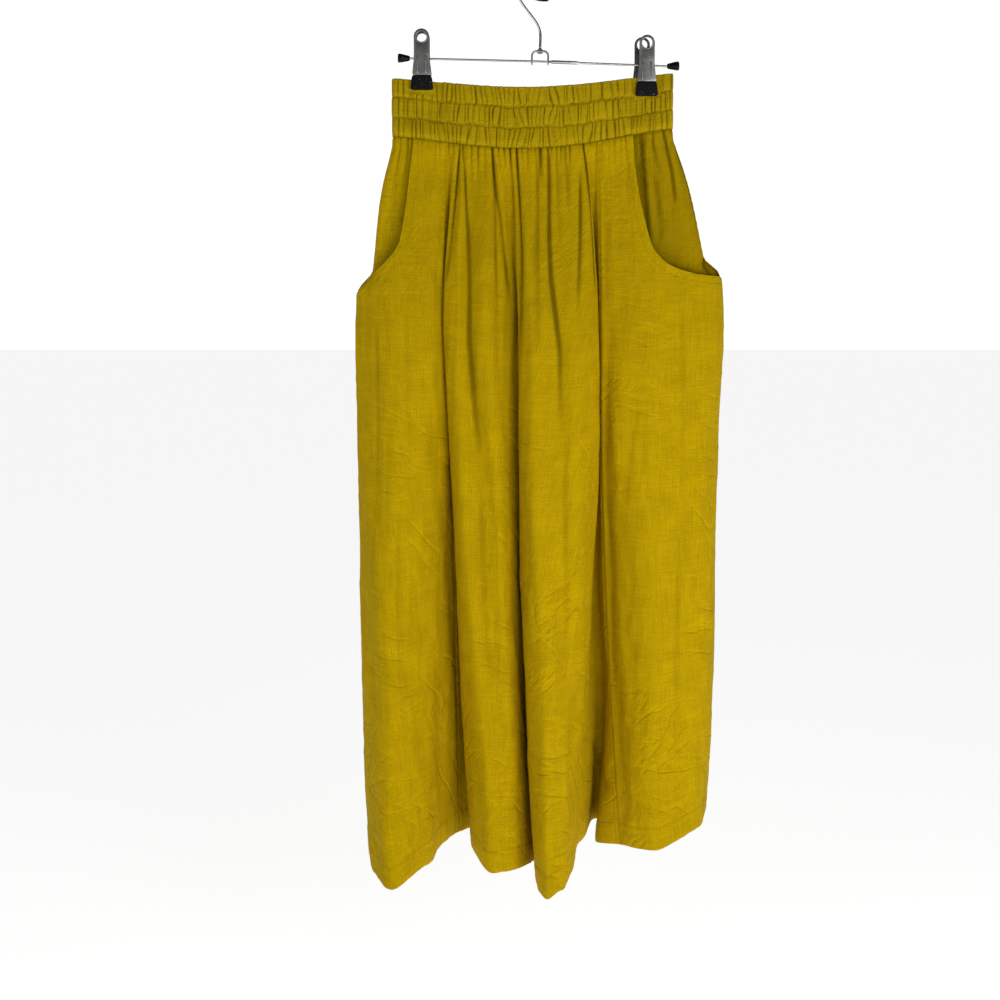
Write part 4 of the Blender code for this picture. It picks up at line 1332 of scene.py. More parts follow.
    def lay(self) -> None:
        """Work out the panel's grid of points and its distances from each edge."""
        shares = self.spaced(self.size[0])
        points = self.form.surface(self.places(shares), shares[:, None])
        below = way_run(points, 0)
        self.points, self.normals = points, facing(points)
        self.first_way = way_run(points, 1)
        self.last_way = self.first_way[:, -1:] - self.first_way
        self.hem_way = below[-1] - below
        self.down, self.across = below, self.first_way
        even = np.linspace(0, 1, points.shape[1]) * self.across[:, -1].mean() * 0.9
        self.even = np.broadcast_to(even, below.shape)
        self.rim_way = np.full(below.shape, FAR)
        if self.rim:
            column, inner = (0, -1) if self.outer < 0 else (-1, 0)
            self.down = np.broadcast_to(below[:, inner][:, None], below.shape)
            if self.outer < 0:
                self.across = self.last_way.max() - self.last_way
            self.even = self.across
            outside = points[:, column]
            gap = abs(outside[:, 0] - self.rim[-1][0]) + abs(outside[:, 2] - self.rim[-1][1])
            corner = np.argmax(gap < 6.0)
            self.edge = outside[:corner + 1]
            self.rim_way = self.reach(points, self.edge)
            seam_way = self.reach(points, outside[corner + 1:])
            if self.outer < 0:
                self.first_way = seam_way
            else:
                self.last_way = seam_way

    def shape(self) -> Grid:
        """Work out the panel's fine shape, and how much shade is painted at each place.

        Returns:
            Its finished points.
        """
        relief = Relief(self.points, self.down, self.across, self.normals, self.seed, self.even)
        calm = smooth(self.rim_way / 7.0)
        relief.gathers(self.gather_pitch, self.gather_depth, self.gather_narrow, calm)
        relief.lift += 1.9 * (1 - np.exp(-self.down / 3.0)) * np.exp(-self.down / 22)
        relief.creases(self.creases)
        # Painted shade: the upper part of the panel is darkened, as are its narrow valleys and a strip just
        # under the waistband's seam.
        upper_painted_shade = 0.17 * smooth(self.down / 50) * (1 - smooth((self.down - 90) / 190))
        self.hollow = np.clip(relief.hollows() + upper_painted_shade + 0.55 * np.exp(-self.down / 1.3), 0, 1)
        relief.waves(0.85, (26, 70), (180, 700), 14)
        relief.waves(0.22, (11, 22), (60, 240), 12)
        relief.waves(0.10, (7, 14), (8, 22), 14)
        relief.crumple(int(self.area * 200), 0.6, (110.0, SKIRT_DROP))
        relief.crumple(int(self.area * 330), 0.9, (420.0, SKIRT_DROP))
        relief.hem(self.hem_way, HEM_DEPTH)
        relief.lift *= smooth(self.first_way / 6.0) * smooth(self.last_way / 6.0)
        relief.seam(self.first_way, SEAM_PUCKER)
        relief.seam(self.last_way, SEAM_PUCKER)
        if self.rim:
            relief.lift += 0.4 * (1 - smooth((self.rim_way - 6.2) / 1.4)) - 0.5 * bell(self.rim_way, 1.0)
            relief.lift += 1.3 * np.exp(-self.rim_way / 9)
        raised = np.zeros(self.points.shape)
        raised[..., 2] = 0.9 * np.exp(-self.down / 2.0)
        return self.points + raised + self.normals * relief.lift[..., None]

    def build(self) -> None:
        self.lay()
        self.points = self.shape()
        charts = {
            "weave": np.stack([self.across, self.down], axis=2) * MM,
            "hem_rim": np.stack([self.hem_way, self.rim_way], axis=2) * MM,
            "seams": np.stack([self.first_way, self.last_way], axis=2) * MM,
            "hollow": np.stack([self.hollow, 0 * self.hollow], axis=2),
        }
        piece = Bench.sheet(self.title, self.points, charts)
        Bench.finish(piece, "SOLIDIFY", thickness=WALL * MM, offset=0.0)
        Bench.declare(Bench.soften(piece, 60), self.finish, "cloth", self.node)
        extra = [self.roll()] if self.rim else []
        LOG.info("%s: %d points, %.0f mm wide at its hem, %.0f mm long", self.title, self.down.size,
                 self.across[-1, -1] - self.across[-1, 0], self.down[-1].max())

    def roll(self) -> Piece:
        """The rolled edge of the pocket's mouth.

        Returns:
            The piece.
        """
        path = self.points[:len(self.edge), 0 if self.outer < 0 else -1] + np.array((0, 0.1, 0.0))
        rng = random.Random(self.seed + 7)
        radii = [0.78 + 0.06 * math.sin(n * 0.9) + rng.uniform(-0.03, 0.03) for n in range(len(path))]
        piece = Bench.wire(self.title + "_pocket_edge", path, radii, 3)
        Bench.declare(Bench.soften(piece, 60), LinenRoll("rolled_pocket_edge"), "cloth")
        return piece


@dataclass
class Yoke:
    """Hip yoke: it shows in the pocket's mouth and runs on behind it as the pocket's back."""

    form: SkirtForm
    title: str
    node: str
    side: str
    rim: Line
    flat: Pair
    finish: Linen
    seed: int
    creases: tuple[Crease, ...] = ()
    shade: float = 0.0  # painted shade: how much darker it is painted than the rest of the skirt, as the pocket's shadow
    size: tuple[int, int] = (120, 64)
    crowd: float = 1.15  # above 1, rows and columns lie closer at its top and at its side

    @property
    def sign(self) -> int:
        """Which side of the skirt it is on: -1 at the left, 1 at the right."""
        return -1 if self.side == "left_side" else 1

    def lay(self) -> tuple[Grid, Grid]:
        """Work out the yoke's plain grid of points.

        Returns:
            The points, and the way of each below the waistband's seam.
        """
        corner = self.rim[0][0]
        share = np.linspace(0, 1, self.size[0]) ** self.crowd
        height = mix(seam_height(corner), YOKE_FOOT, share)
        v = np.maximum((SEAM_LEVEL - height) / SKIRT_DROP, 0.0)
        tucked = smooth((self.rim[-1][1] + YOKE_TUCK - height) / YOKE_TUCK)
        side_x = self.form.plan(self.form.place[self.side], v)[:, 0] - self.sign * YOKE_INSET * tucked
        back = mix(half_depth(corner, 1) - YOKE_BEHIND, YOKE_BACK, smooth(share * 2.5))
        t = np.linspace(0, 1, self.size[1])[None, :] ** self.crowd
        x = mix(side_x[:, None], corner - self.sign * YOKE_LAP, t**1.4)
        y = -back[:, None] * (1 - (1 - np.minimum(t * 2.2, 1.0)) ** 2.4)
        z = mix(seam_height(x) - SEAM_GAP, YOKE_FOOT, share[:, None])
        points, down = np.stack([x, y, z], axis=2), seam_height(x) - z
        return (points, down) if self.sign < 0 else (points[:, ::-1], down[:, ::-1])

    def build(self) -> None:
        points, down = self.lay()
        across, normals = way_run(points, 1), facing(points)
        relief = Relief(points, down, across, normals, self.seed)
        relief.gathers(8.0, 1.5, 1.2)
        relief.lift += 1.3 * (1 - np.exp(-down / 3.0)) * np.exp(-down / 22)
        relief.creases(self.creases)
        relief.waves(0.5, (22, 50), (150, 500), 10)
        relief.waves(0.1, (8, 16), (10, 40), 10)
        line = np.array(self.rim, float)
        behind = self.sign * (points[..., 0] - np.interp(-points[..., 2], -line[:, 1], line[:, 0]))
        # Painted shade: darker in its valleys, by its own painted shade, close behind the pocket's mouth and
        # just under the waistband's seam.
        hollow = relief.hollows() + self.shade + 0.5 * np.exp(-np.maximum(behind, 0) / 7)
        hollow += 0.5 * np.exp(-down / 1.3)
        points = points + normals * relief.lift[..., None]
        points[..., 2] += 0.9 * np.exp(-down / 2)
        away = np.full((*across.shape, 2), 0.5)
        charts = {
            "hollow": np.stack([np.clip(hollow, 0, 1), away[..., 0]], axis=2),
            "weave": np.stack([across, down], axis=2) * MM,
            "hem_rim": away,
            "seams": away,
        }
        piece = Bench.sheet(self.title, points, charts)
        Bench.finish(piece, "SOLIDIFY", thickness=WALL * MM, offset=0.0)
        Bench.declare(Bench.soften(piece, 60), self.finish, "cloth", self.node)
        LOG.info("%s: %.0f mm across its top, %.0f mm at its foot", self.title, across[0, -1], across[-1, -1])


@dataclass
class Waistband:
    """The elastic waistband: a ring of three puffed, gathered rows round a plain inner face."""

    seed: int = 41
    around: int = 1040  # points round it
    gathers: int = 60  # in each half
    rows: tuple[float, ...] = (0.0, 0.32, 0.655, 1.0)  # stitch rows and edges, as shares of its height
    puff: float = 0.6
    fold: float = 2.0
    edge: float = 1.45  # radius of its folded top edge
    foot_edge: float = 0.9  # radius of its foot
    ends: Pair = (0.012, 0.992)  # shares of its height between which its outer face is flat
    inner: int = 12  # points up its inner face
    height: float = 62.5
    flat: Pair = (0.86, 0.063)
    finish: Linen = field(default_factory=lambda: Linen("linen_waistband"))
    # painted shade of each half's outer face, for its map
    hollow: dict[int, Grid] = field(default_factory=dict)
    level: dict[int, Grid] = field(default_factory=dict)

    def phases(self, share: Grid, down: Grid, rng: np.random.Generator) -> Grid:
        """Number of gathers passed along one half of the band.

        Args:
            share: Shares of the way round the half.
            down: Shares of the way down.
            rng: The half's random row.

        Returns:
            The number at each place.
        """
        found, values = [], []
        for _ in range(len(self.rows) - 1):
            stops = np.arange(self.gathers + 1) / self.gathers
            stops[1:-1] += rng.normal(0, 0.34 / self.gathers, self.gathers - 1)
            found.append(np.sort(stops))
        ends = np.sin(np.linspace(0, math.pi, self.gathers + 1))
        for row, stops in enumerate(found):
            drift = rng.normal(0, 0.10 / self.gathers, self.gathers + 1).cumsum() * 0.4
            value = np.interp(share, np.sort(stops + drift * ends), np.arange(self.gathers + 1.0))
            lean = np.convolve(rng.normal(0, 0.42, self.gathers + 1), (0.25, 0.5, 0.25), "same")
            lean = np.interp(share, np.linspace(0, 1, self.gathers + 1), lean)
            middle = (self.rows[row] + self.rows[row + 1]) / 2
            values.append(value + lean * (down - middle) / 0.165 * np.sin(math.pi * share))
        phase = values[0]
        for row in range(1, len(values)):
            phase = mix(phase, values[row], smooth((down - self.rows[row] + 0.045) / 0.09))
        return phase

    @staticmethod
    def pressed(x: Grid, down: Grid) -> Grid:
        """How far the clips' pads flatten the gathers.

        Args:
            x: Places across the band.
            down: Shares of the way down it.

        Returns:
            From 0 where they stand free to 1 under a pad.
        """
        flat = np.zeros(x.shape)
        for middle, foot in ((CLIP_LEFT, 0.21), (CLIP_RIGHT, 0.37)):
            near = 1 - smooth((abs(x - middle) - PAD_WIDE / 2 - 0.8) / 3.0)
            flat = np.maximum(flat, near * (1 - smooth((down - foot) / 0.06)))
        return flat

    def section(self) -> tuple[Grid, Grid, Grid]:
        """The band's section, from the foot of its inner face up, over and down again.

        Returns:
            Shares of the height, heights over those shares in millimetres, and how far each point
            stands out of the middle line as a share of half the wall.
        """
        outer = np.linspace(*self.ends, 52)
        over = np.linspace(math.pi, 0, 9)[1:-1]
        under = np.linspace(0, -math.pi, 7)[1:-1]
        down = np.r_[np.linspace(0.985, 0.03, self.inner), np.full(over.size, self.ends[0]), outer,
                     np.full(under.size, self.ends[1])]
        rise = np.r_[np.zeros(self.inner), np.sin(over) * self.edge, np.zeros(outer.size),
                     np.sin(under) * self.foot_edge]
        out = np.r_[np.full(self.inner, -1.0), np.cos(over), np.ones(outer.size), np.cos(under)]
        return down, rise, out

    @staticmethod
    def course(share: Grid, down: Grid) -> tuple[Grid, Grid, Grid, Grid]:
        """The middle line of the front half in plan.

        Args:
            share: Shares of the way round the half, from its left end.
            down: Shares of the way down the band.

        Returns:
            How far across and how deep each place lies, and its outward direction's two parts.
        """
        radius = mix(*BAND_END_RADIUS, down)
        turn = math.pi / 2 * radius
        straight = BAND_RIGHT - BAND_LEFT - 2 * radius
        at = share * (straight + 2 * turn)
        left, right = at < turn, at > turn + straight
        angle = np.where(left, at / radius, np.where(right, (2 * turn + straight - at) / radius, math.pi / 2))
        x = np.where(right, BAND_RIGHT - radius + np.cos(angle) * radius, BAND_LEFT + radius + at - turn)
        x = np.where(left, BAND_LEFT + radius - np.cos(angle) * radius, x)
        y = np.where(left | right, -np.sin(angle) * radius, -half_depth(x, down))
        out_x = np.where(left, -np.cos(angle), np.where(right, np.cos(angle), 0.0))
        out_y = -np.where(left | right, np.sin(angle), 1.0)
        return x, y, out_x, out_y

    def gathered(
        self, share: Grid, level: Grid, rng: np.random.Generator
    ) -> tuple[Grid, Grid]:
        """The uneven gathers of one half.

        Args:
            share: Shares of the way round the half.
            level: Shares of the way down, as the stitch rows sway.
            rng: The half's random row.

        Returns:
            How high the cloth stands on a gather, and how deep it lies in the valleys between them.
        """
        phase = self.phases(share, level, rng)
        number = np.clip(np.floor(phase + 1e-9).astype(int), 0, self.gathers)
        valley = np.clip(np.round(phase).astype(int), 0, self.gathers)
        each = (len(self.rows) - 1, self.gathers + 1)
        row = np.clip(np.searchsorted(self.rows, level, side="right") - 1, 0, each[0] - 1)
        strength = rng.uniform(0.55, 1.25, each)[row, number]
        width = rng.uniform(0.07, 0.16, each)[row, valley]
        deep = rng.uniform(0.35, 1.0, each)[row, valley] * np.exp(-(((phase - np.round(phase)) / width) ** 2))
        return (1 - deep) * strength, deep

    def body(self, level: Grid) -> Grid:
        """How full the rows stand.

        Args:
            level: Shares of the way down, as the stitch rows sway.

        Returns:
            From 0 at a row's stitches to 1 at its middle.
        """
        in_row = np.zeros(level.shape)
        for low, high in zip(self.rows, self.rows[1:]):
            inside = (level >= low) & (level <= high)
            in_row = np.where(inside, np.sin(math.pi * (level - low) / (high - low)), in_row)
        body = np.maximum(in_row, 0) ** 0.6
        return np.where(level < self.rows[1] / 2, np.maximum(body, 0.75), body)

    def half(self, sign: int) -> Grid:
        """One half of the band, and its painted shade and levels for the maps.

        Args:
            sign: -1 for the front half, 1 for the back half.

        Returns:
            Its points, from its first end on.
        """
        rng = np.random.default_rng(self.seed + sign)
        down, rise, out = self.section()
        share = (np.arange(self.around // 2) / (self.around // 2))[:, None]
        down = np.broadcast_to(down, (len(share), len(down)))
        share = np.broadcast_to(share, down.shape)
        x, y, out_x, out_y = self.course(share, down)
        sway = 0.010 * np.sin(share * 29 + sign) + 0.007 * np.sin(share * 71) + 0.004 * np.sin(share * 163)
        level = down + sway * np.sin(math.pi * down)
        crest, deep = self.gathered(share, level, rng)
        body = self.body(level)
        free = 1 - self.pressed(x, down)
        ends = 0.3 + 0.7 * smooth(np.minimum(share, 1 - share) / 0.03)
        lift = (self.puff * body + self.fold * crest * (0.6 + 0.4 * body)) * ends - 0.7
        lift = mix(lift, 0.6 * self.fold * (crest - 0.55) - 0.6, smooth((down - 0.88) / 0.12))
        fine = np.sin(share * 620 + 3 * np.sin(share * 47)) * (1 - body) * 0.22
        for place in self.rows[1:-1]:
            lift -= 0.4 * bell((level - place) * 63, 0.8)
        # Painted shade: darker in the valleys between gathers, a little everywhere and most at the band's
        # foot, but not where the pads press.
        dark = deep * (0.75 + 0.25 * body) + 0.05
        dark += 0.5 * smooth((down - 0.975) / 0.02)
        self.hollow[sign] = np.where(out > 0, np.clip(dark * free, 0, 1), 0.0)
        self.level[sign] = level
        outer = np.clip(out, -1, 1)
        stand = np.where(outer > 0, outer * (BAND_WALL / 2 + (lift + fine) * (0.03 + 0.97 * free)),
                         outer * BAND_WALL / 2 + 0.35 * (crest - 0.6) * free)
        stand = np.where((np.abs(outer) < 0.999) & (outer <= 0), outer * self.edge, stand)
        x, y = x + out_x * stand, y + out_y * stand
        z = mix(top_height(x), seam_height(x) + SEAM_GAP / 2, down)
        z = z + rise - np.where(down < 0.02, self.edge, 0) + np.where(down > 0.99, self.foot_edge, 0)
        z = z - (1 - crest) * 0.7 * np.exp(-down / 0.05) * free
        return np.stack([x, np.where(sign > 0, -y, y), z], axis=2)

    @staticmethod
    def whole(halves: dict[int, Grid]) -> Grid:
        """Values of the whole closed grid from those of its front and back halves."""
        ring = np.concatenate([halves[-1], np.roll(halves[1][::-1], 1, axis=0), halves[-1][:1]])
        return np.concatenate([ring, ring[:, :1]], axis=1)

    def build(self) -> None:
        front, back = self.half(-1), self.half(1)
        back[0] = mix(front[-1], back[-1], 0.5)
        ring = self.whole({-1: front, 1: back})
        steps = np.linalg.norm(np.diff(ring, axis=0), axis=2).mean(axis=1)
        around = np.r_[0, np.cumsum(steps)]
        way = line_run(ring[40])
        hollow, level = self.whole(self.hollow), self.whole(self.level)
        height = np.where(np.arange(level.shape[1]) >= self.inner, level * self.height * MM, 0.5)
        charts = {
            "weave": np.stack(np.broadcast_arrays(around[:, None] * MM, way[None, :] * MM), axis=2),
            "hem_rim": np.stack([height, np.full(height.shape, 0.5)], axis=2),
            "seams": np.full((*height.shape, 2), 0.5),
            "hollow": np.stack([hollow, hollow], axis=2),
        }
        piece = Bench.sheet("gathered_waistband", ring, charts)
        Bench.outward(piece, 0.000001)
        Bench.declare(Bench.soften(piece, 70), self.finish, "band", "waistband_front", "waistband_back")
        LOG.info("waistband: %d points, %.0f mm round", level.size, around[-1])


# ------------ the hanger
class Side(Enum):
    """A clip's front or back half."""

    FRONT = -1
    BACK = 1


class Corner(NamedTuple):
    """One point of the hook's line."""

    across: float
    height: float


HOOK_LINE = tuple(Corner(*place) for place in (
    (0, -88.0), (0, -72), (-3.5, -63), (-20.5, -40), (-25.5, -27), (-24, -12), (-14, -2),
    (0, 1.4), (14, -2), (22.5, -13), (22.5, -26), (14, -36), (9, -37.6),
))
TIP_LINE = tuple(Corner(*place) for place in ((8.7, -37.6), (4, -37.9), (-1, -37.4), (-6, -36.2)))


def rounded_path(line: Sequence[Corner], cuts: int) -> list[tuple[float, float, float]]:
    """Points of a smooth curve through places in the hanger's plane.

    Args:
        line: The places, in order.
        cuts: Points from each place to the next.

    Returns:
        The curve's points in millimetres.
    """
    places = [np.array(place, float) for place in line]
    chain = [2 * places[0] - places[1], *places, 2 * places[-1] - places[-2]]
    path = []
    for n in range(len(places) - 1):
        before, start, end, after = chain[n:n + 4]
        stops = [0.0]
        for a, b in ((before, start), (start, end), (end, after)):
            stops.append(stops[-1] + max(float(np.linalg.norm(b - a)), 1e-6) ** 0.5)
        for cut in range(cuts):
            at = mix(stops[1], stops[2], cut / cuts)
            row = chain[n:n + 4]
            for span in (1, 2):
                parts = [(at - stops[i]) / (stops[i + span] - stops[i]) for i in range(4 - span)]
                row = [mix(row[i], row[i + 1], part) for i, part in enumerate(parts)]
            spot = mix(row[0], row[1], (at - stops[1]) / (stops[2] - stops[1]))
            path.append((float(spot[0]), 0.0, float(spot[1])))
    path.append((line[-1].across, 0.0, line[-1].height))
    return path


@dataclass
class Hanger:
    """The wire hook, bracket, rod and end caps."""

    wire_radius: float = 1.4
    tip_radius: float = 2.3
    rod_radius: float = 1.15
    sleeve_radius: float = 1.9
    sleeve: tuple[float, float, float, float] = (11.5, 12.0, 38.0, 43.0)  # its start, full part and end
    rod_ends: Pair = (-138.4, 135.2)
    rod_heights: tuple[float, float, float] = (-99.2, -102.4, -107.4)  # at its left end, middle and right end
    cap_long: float = 13.0
    cap_radii: Pair = (2.7, 4.8)
    bracket_wide: float = 19.2
    bracket_top: float = -90.9
    bracket_foot: float = -106.2
    bracket_thick: float = 1.9
    bracket_deep: float = 6.0
    bracket_corner: float = 5.0
    stud_radius: float = 3.0
    stud_top: float = -88.3
    clear: float = 0.3
    chrome: Steel = field(default_factory=lambda: Steel("polished_wire", (0.62, 0.62, 0.60), 0.2))
    black: Rubber = field(default_factory=lambda: Rubber("black_end_rubber", rough=0.3))

    def rod_height(self, x: float) -> float:
        """Height of the rod's middle at x."""
        left, middle, right = self.rod_heights
        return mix(middle, left, x / self.rod_ends[0]) if x < 0 else mix(middle, right, x / self.rod_ends[1])

    def dress(self, piece: Piece, finish: Steel | Rubber, *nodes: str) -> None:
        """Give a piece its finish and hide the solids that it stands for.

        Args:
            piece: The piece.
            finish: What it is made of.
            nodes: The solids that it stands for.
        """
        Bench.declare(piece, finish, "rubber" if isinstance(finish, Rubber) else "steel", *nodes)
        LOG.info("%s: %d faces", piece.name, len(piece.data.polygons))

    def hook(self) -> None:
        """The wire hook, its dark tip and the stud that holds it."""
        path = rounded_path(HOOK_LINE, 9)
        hook = Bench.wire("hook_wire", path, [self.wire_radius] * len(path), 6)
        self.dress(Bench.soften(hook, 60), self.chrome, "hanger_hook")
        path = rounded_path(TIP_LINE, 8)
        end, _, level = path[-1]
        path = [path[0], *path, (end - 0.7, 0, level + 0.2), (end - 1.1, 0, level + 0.3)]
        radii = [self.wire_radius + 0.1, *[self.tip_radius] * (len(path) - 3), self.tip_radius * 0.86,
                 self.tip_radius * 0.45]
        tip = Bench.wire("hook_tip_sleeve", path, radii, 6)
        self.dress(Bench.soften(tip, 50), self.black, "hanger_hook_tip")
        under = self.bracket_top - self.bracket_thick - self.clear
        top = self.bracket_top + self.clear
        neck, wide, crown = self.wire_radius, self.stud_radius, self.stud_top
        profile = (
            (0, crown), (neck * 0.9, crown), (neck + 0.25, crown - 0.3), (neck + 0.3, crown - 1.0),
            (wide - 0.5, top + 0.6), (wide, top + 0.3), (wide, top), (neck, top), (neck, under),
            (wide - 0.15, under), (wide, under - 0.25), (wide - 0.35, under - 1.0),
            (wide * 0.55, under - 1.5), (0, under - 1.65),
        )
        stud = Bench.turned("hook_stud", profile, (0, 0, 0), (0, 0, 1))
        self.dress(stud, Steel("satin_stud", (0.36, 0.36, 0.35), 0.34), "hanger_stud")

    def bracket(self) -> None:
        """The inverted U that the stud and the rod pass through."""
        half = self.bracket_wide / 2 - self.bracket_thick / 2
        top = self.bracket_top - self.bracket_thick / 2
        line = [(-half, self.bracket_foot), (-half, self.bracket_foot + 4)]
        for corner in (-1, 1):
            for step in range(9):
                angle = math.pi / 2 * step / 8
                turn = angle if corner < 0 else math.pi / 2 - angle
                line.append((corner * (half - self.bracket_corner + self.bracket_corner * math.cos(turn)),
                             top - self.bracket_corner + self.bracket_corner * math.sin(turn)))
        line += [(half, self.bracket_foot + 4), (half, self.bracket_foot)]
        wide = np.array([-0.5, -0.4, 0, 0.4, 0.5]) * self.bracket_deep
        points = np.array([[(x, y, z) for y in wide] for x, z in line])
        piece = Bench.sheet("bracket", points, {})
        Bench.finish(piece, "SOLIDIFY", thickness=self.bracket_thick * MM, offset=0.0)
        Bench.outward(piece)
        self.drill(piece, self.wire_radius + self.clear, (0, 0, top), (0, 0, 1))
        for side in (-1, 1):
            place = (side * half, 0, self.rod_height(side * half))
            self.drill(piece, self.rod_radius + self.clear, place, (1, 0, 0))
        Bench.finish(piece, "BEVEL", width=0.35 * MM, segments=3, limit_method="ANGLE",
                        angle_limit=math.radians(40))
        finish = Steel("bracket_steel", (0.50, 0.50, 0.49), 0.26)
        self.dress(Bench.soften(piece, 35), finish, "hanger_bracket")

    @staticmethod
    def drill(piece: Piece, radius: float, place: Row, axis: Row) -> None:
        """Cut a round hole through a piece.

        Args:
            piece: The piece.
            radius: The hole's radius.
            place: Its middle.
            axis: Its direction.
        """
        Bench.clear()
        bpy.ops.mesh.primitive_cylinder_add(vertices=32, radius=radius * MM, depth=8 * MM)
        cutter = Bench.name("cutter")
        cutter.rotation_mode = "QUATERNION"
        cutter.rotation_quaternion = Vector((0, 0, 1)).rotation_difference(Vector(axis))
        cutter.location = Vector(place) * MM
        Bench.settle(cutter)
        Bench.finish(piece, "BOOLEAN", operation="DIFFERENCE", solver="EXACT", object=cutter)
        bpy.data.objects.remove(cutter)

    def rod(self) -> None:
        """The rod with the thicker sleeve beside its bracket, and its two end caps."""
        stops = [(self.rod_ends[0], 1.0), (-60.0, 1.0), (0.0, 1.0)]
        thick = self.sleeve_radius / self.rod_radius
        start, full, slim, end = self.sleeve
        stops += [(start, 1.0), (full, thick * 0.96), (full + 0.5, thick), (slim, thick),
                  (mix(slim, end, 0.5), mix(thick, 1, 0.55)), (end, 1.0), (90.0, 1.0), (self.rod_ends[1], 1.0)]
        path = [(x, 0, self.rod_height(x)) for x, _ in stops]
        rod = Bench.wire("rod", path, [self.rod_radius * share for _, share in stops], 8)
        self.dress(Bench.soften(rod, 60), self.chrome, "hanger_rod")
        near, far = self.cap_radii
        long = self.cap_long
        profile = (
            (0, 0), (near * 0.55, 0), (near * 0.86, 0.25), (near, 0.95), (mix(near, far, 0.25), 3.0),
            (mix(near, far, 0.62), 6.5), (mix(near, far, 0.88), 9.5), (far, long - 1.5),
            (far * 0.95, long - 0.6), (far * 0.78, long - 0.1), (far * 0.4, long), (0, long),
        )
        for side, end in zip((-1, 1), self.rod_ends):
            label = "left" if side < 0 else "right"
            centre = (end + side * self.clear, 0, self.rod_height(end))
            cap = Bench.turned(f"rod_cap_{label}", profile, centre, (side, 0, 0.03), 48)
            self.dress(cap, self.black, f"hanger_cap_{label}")


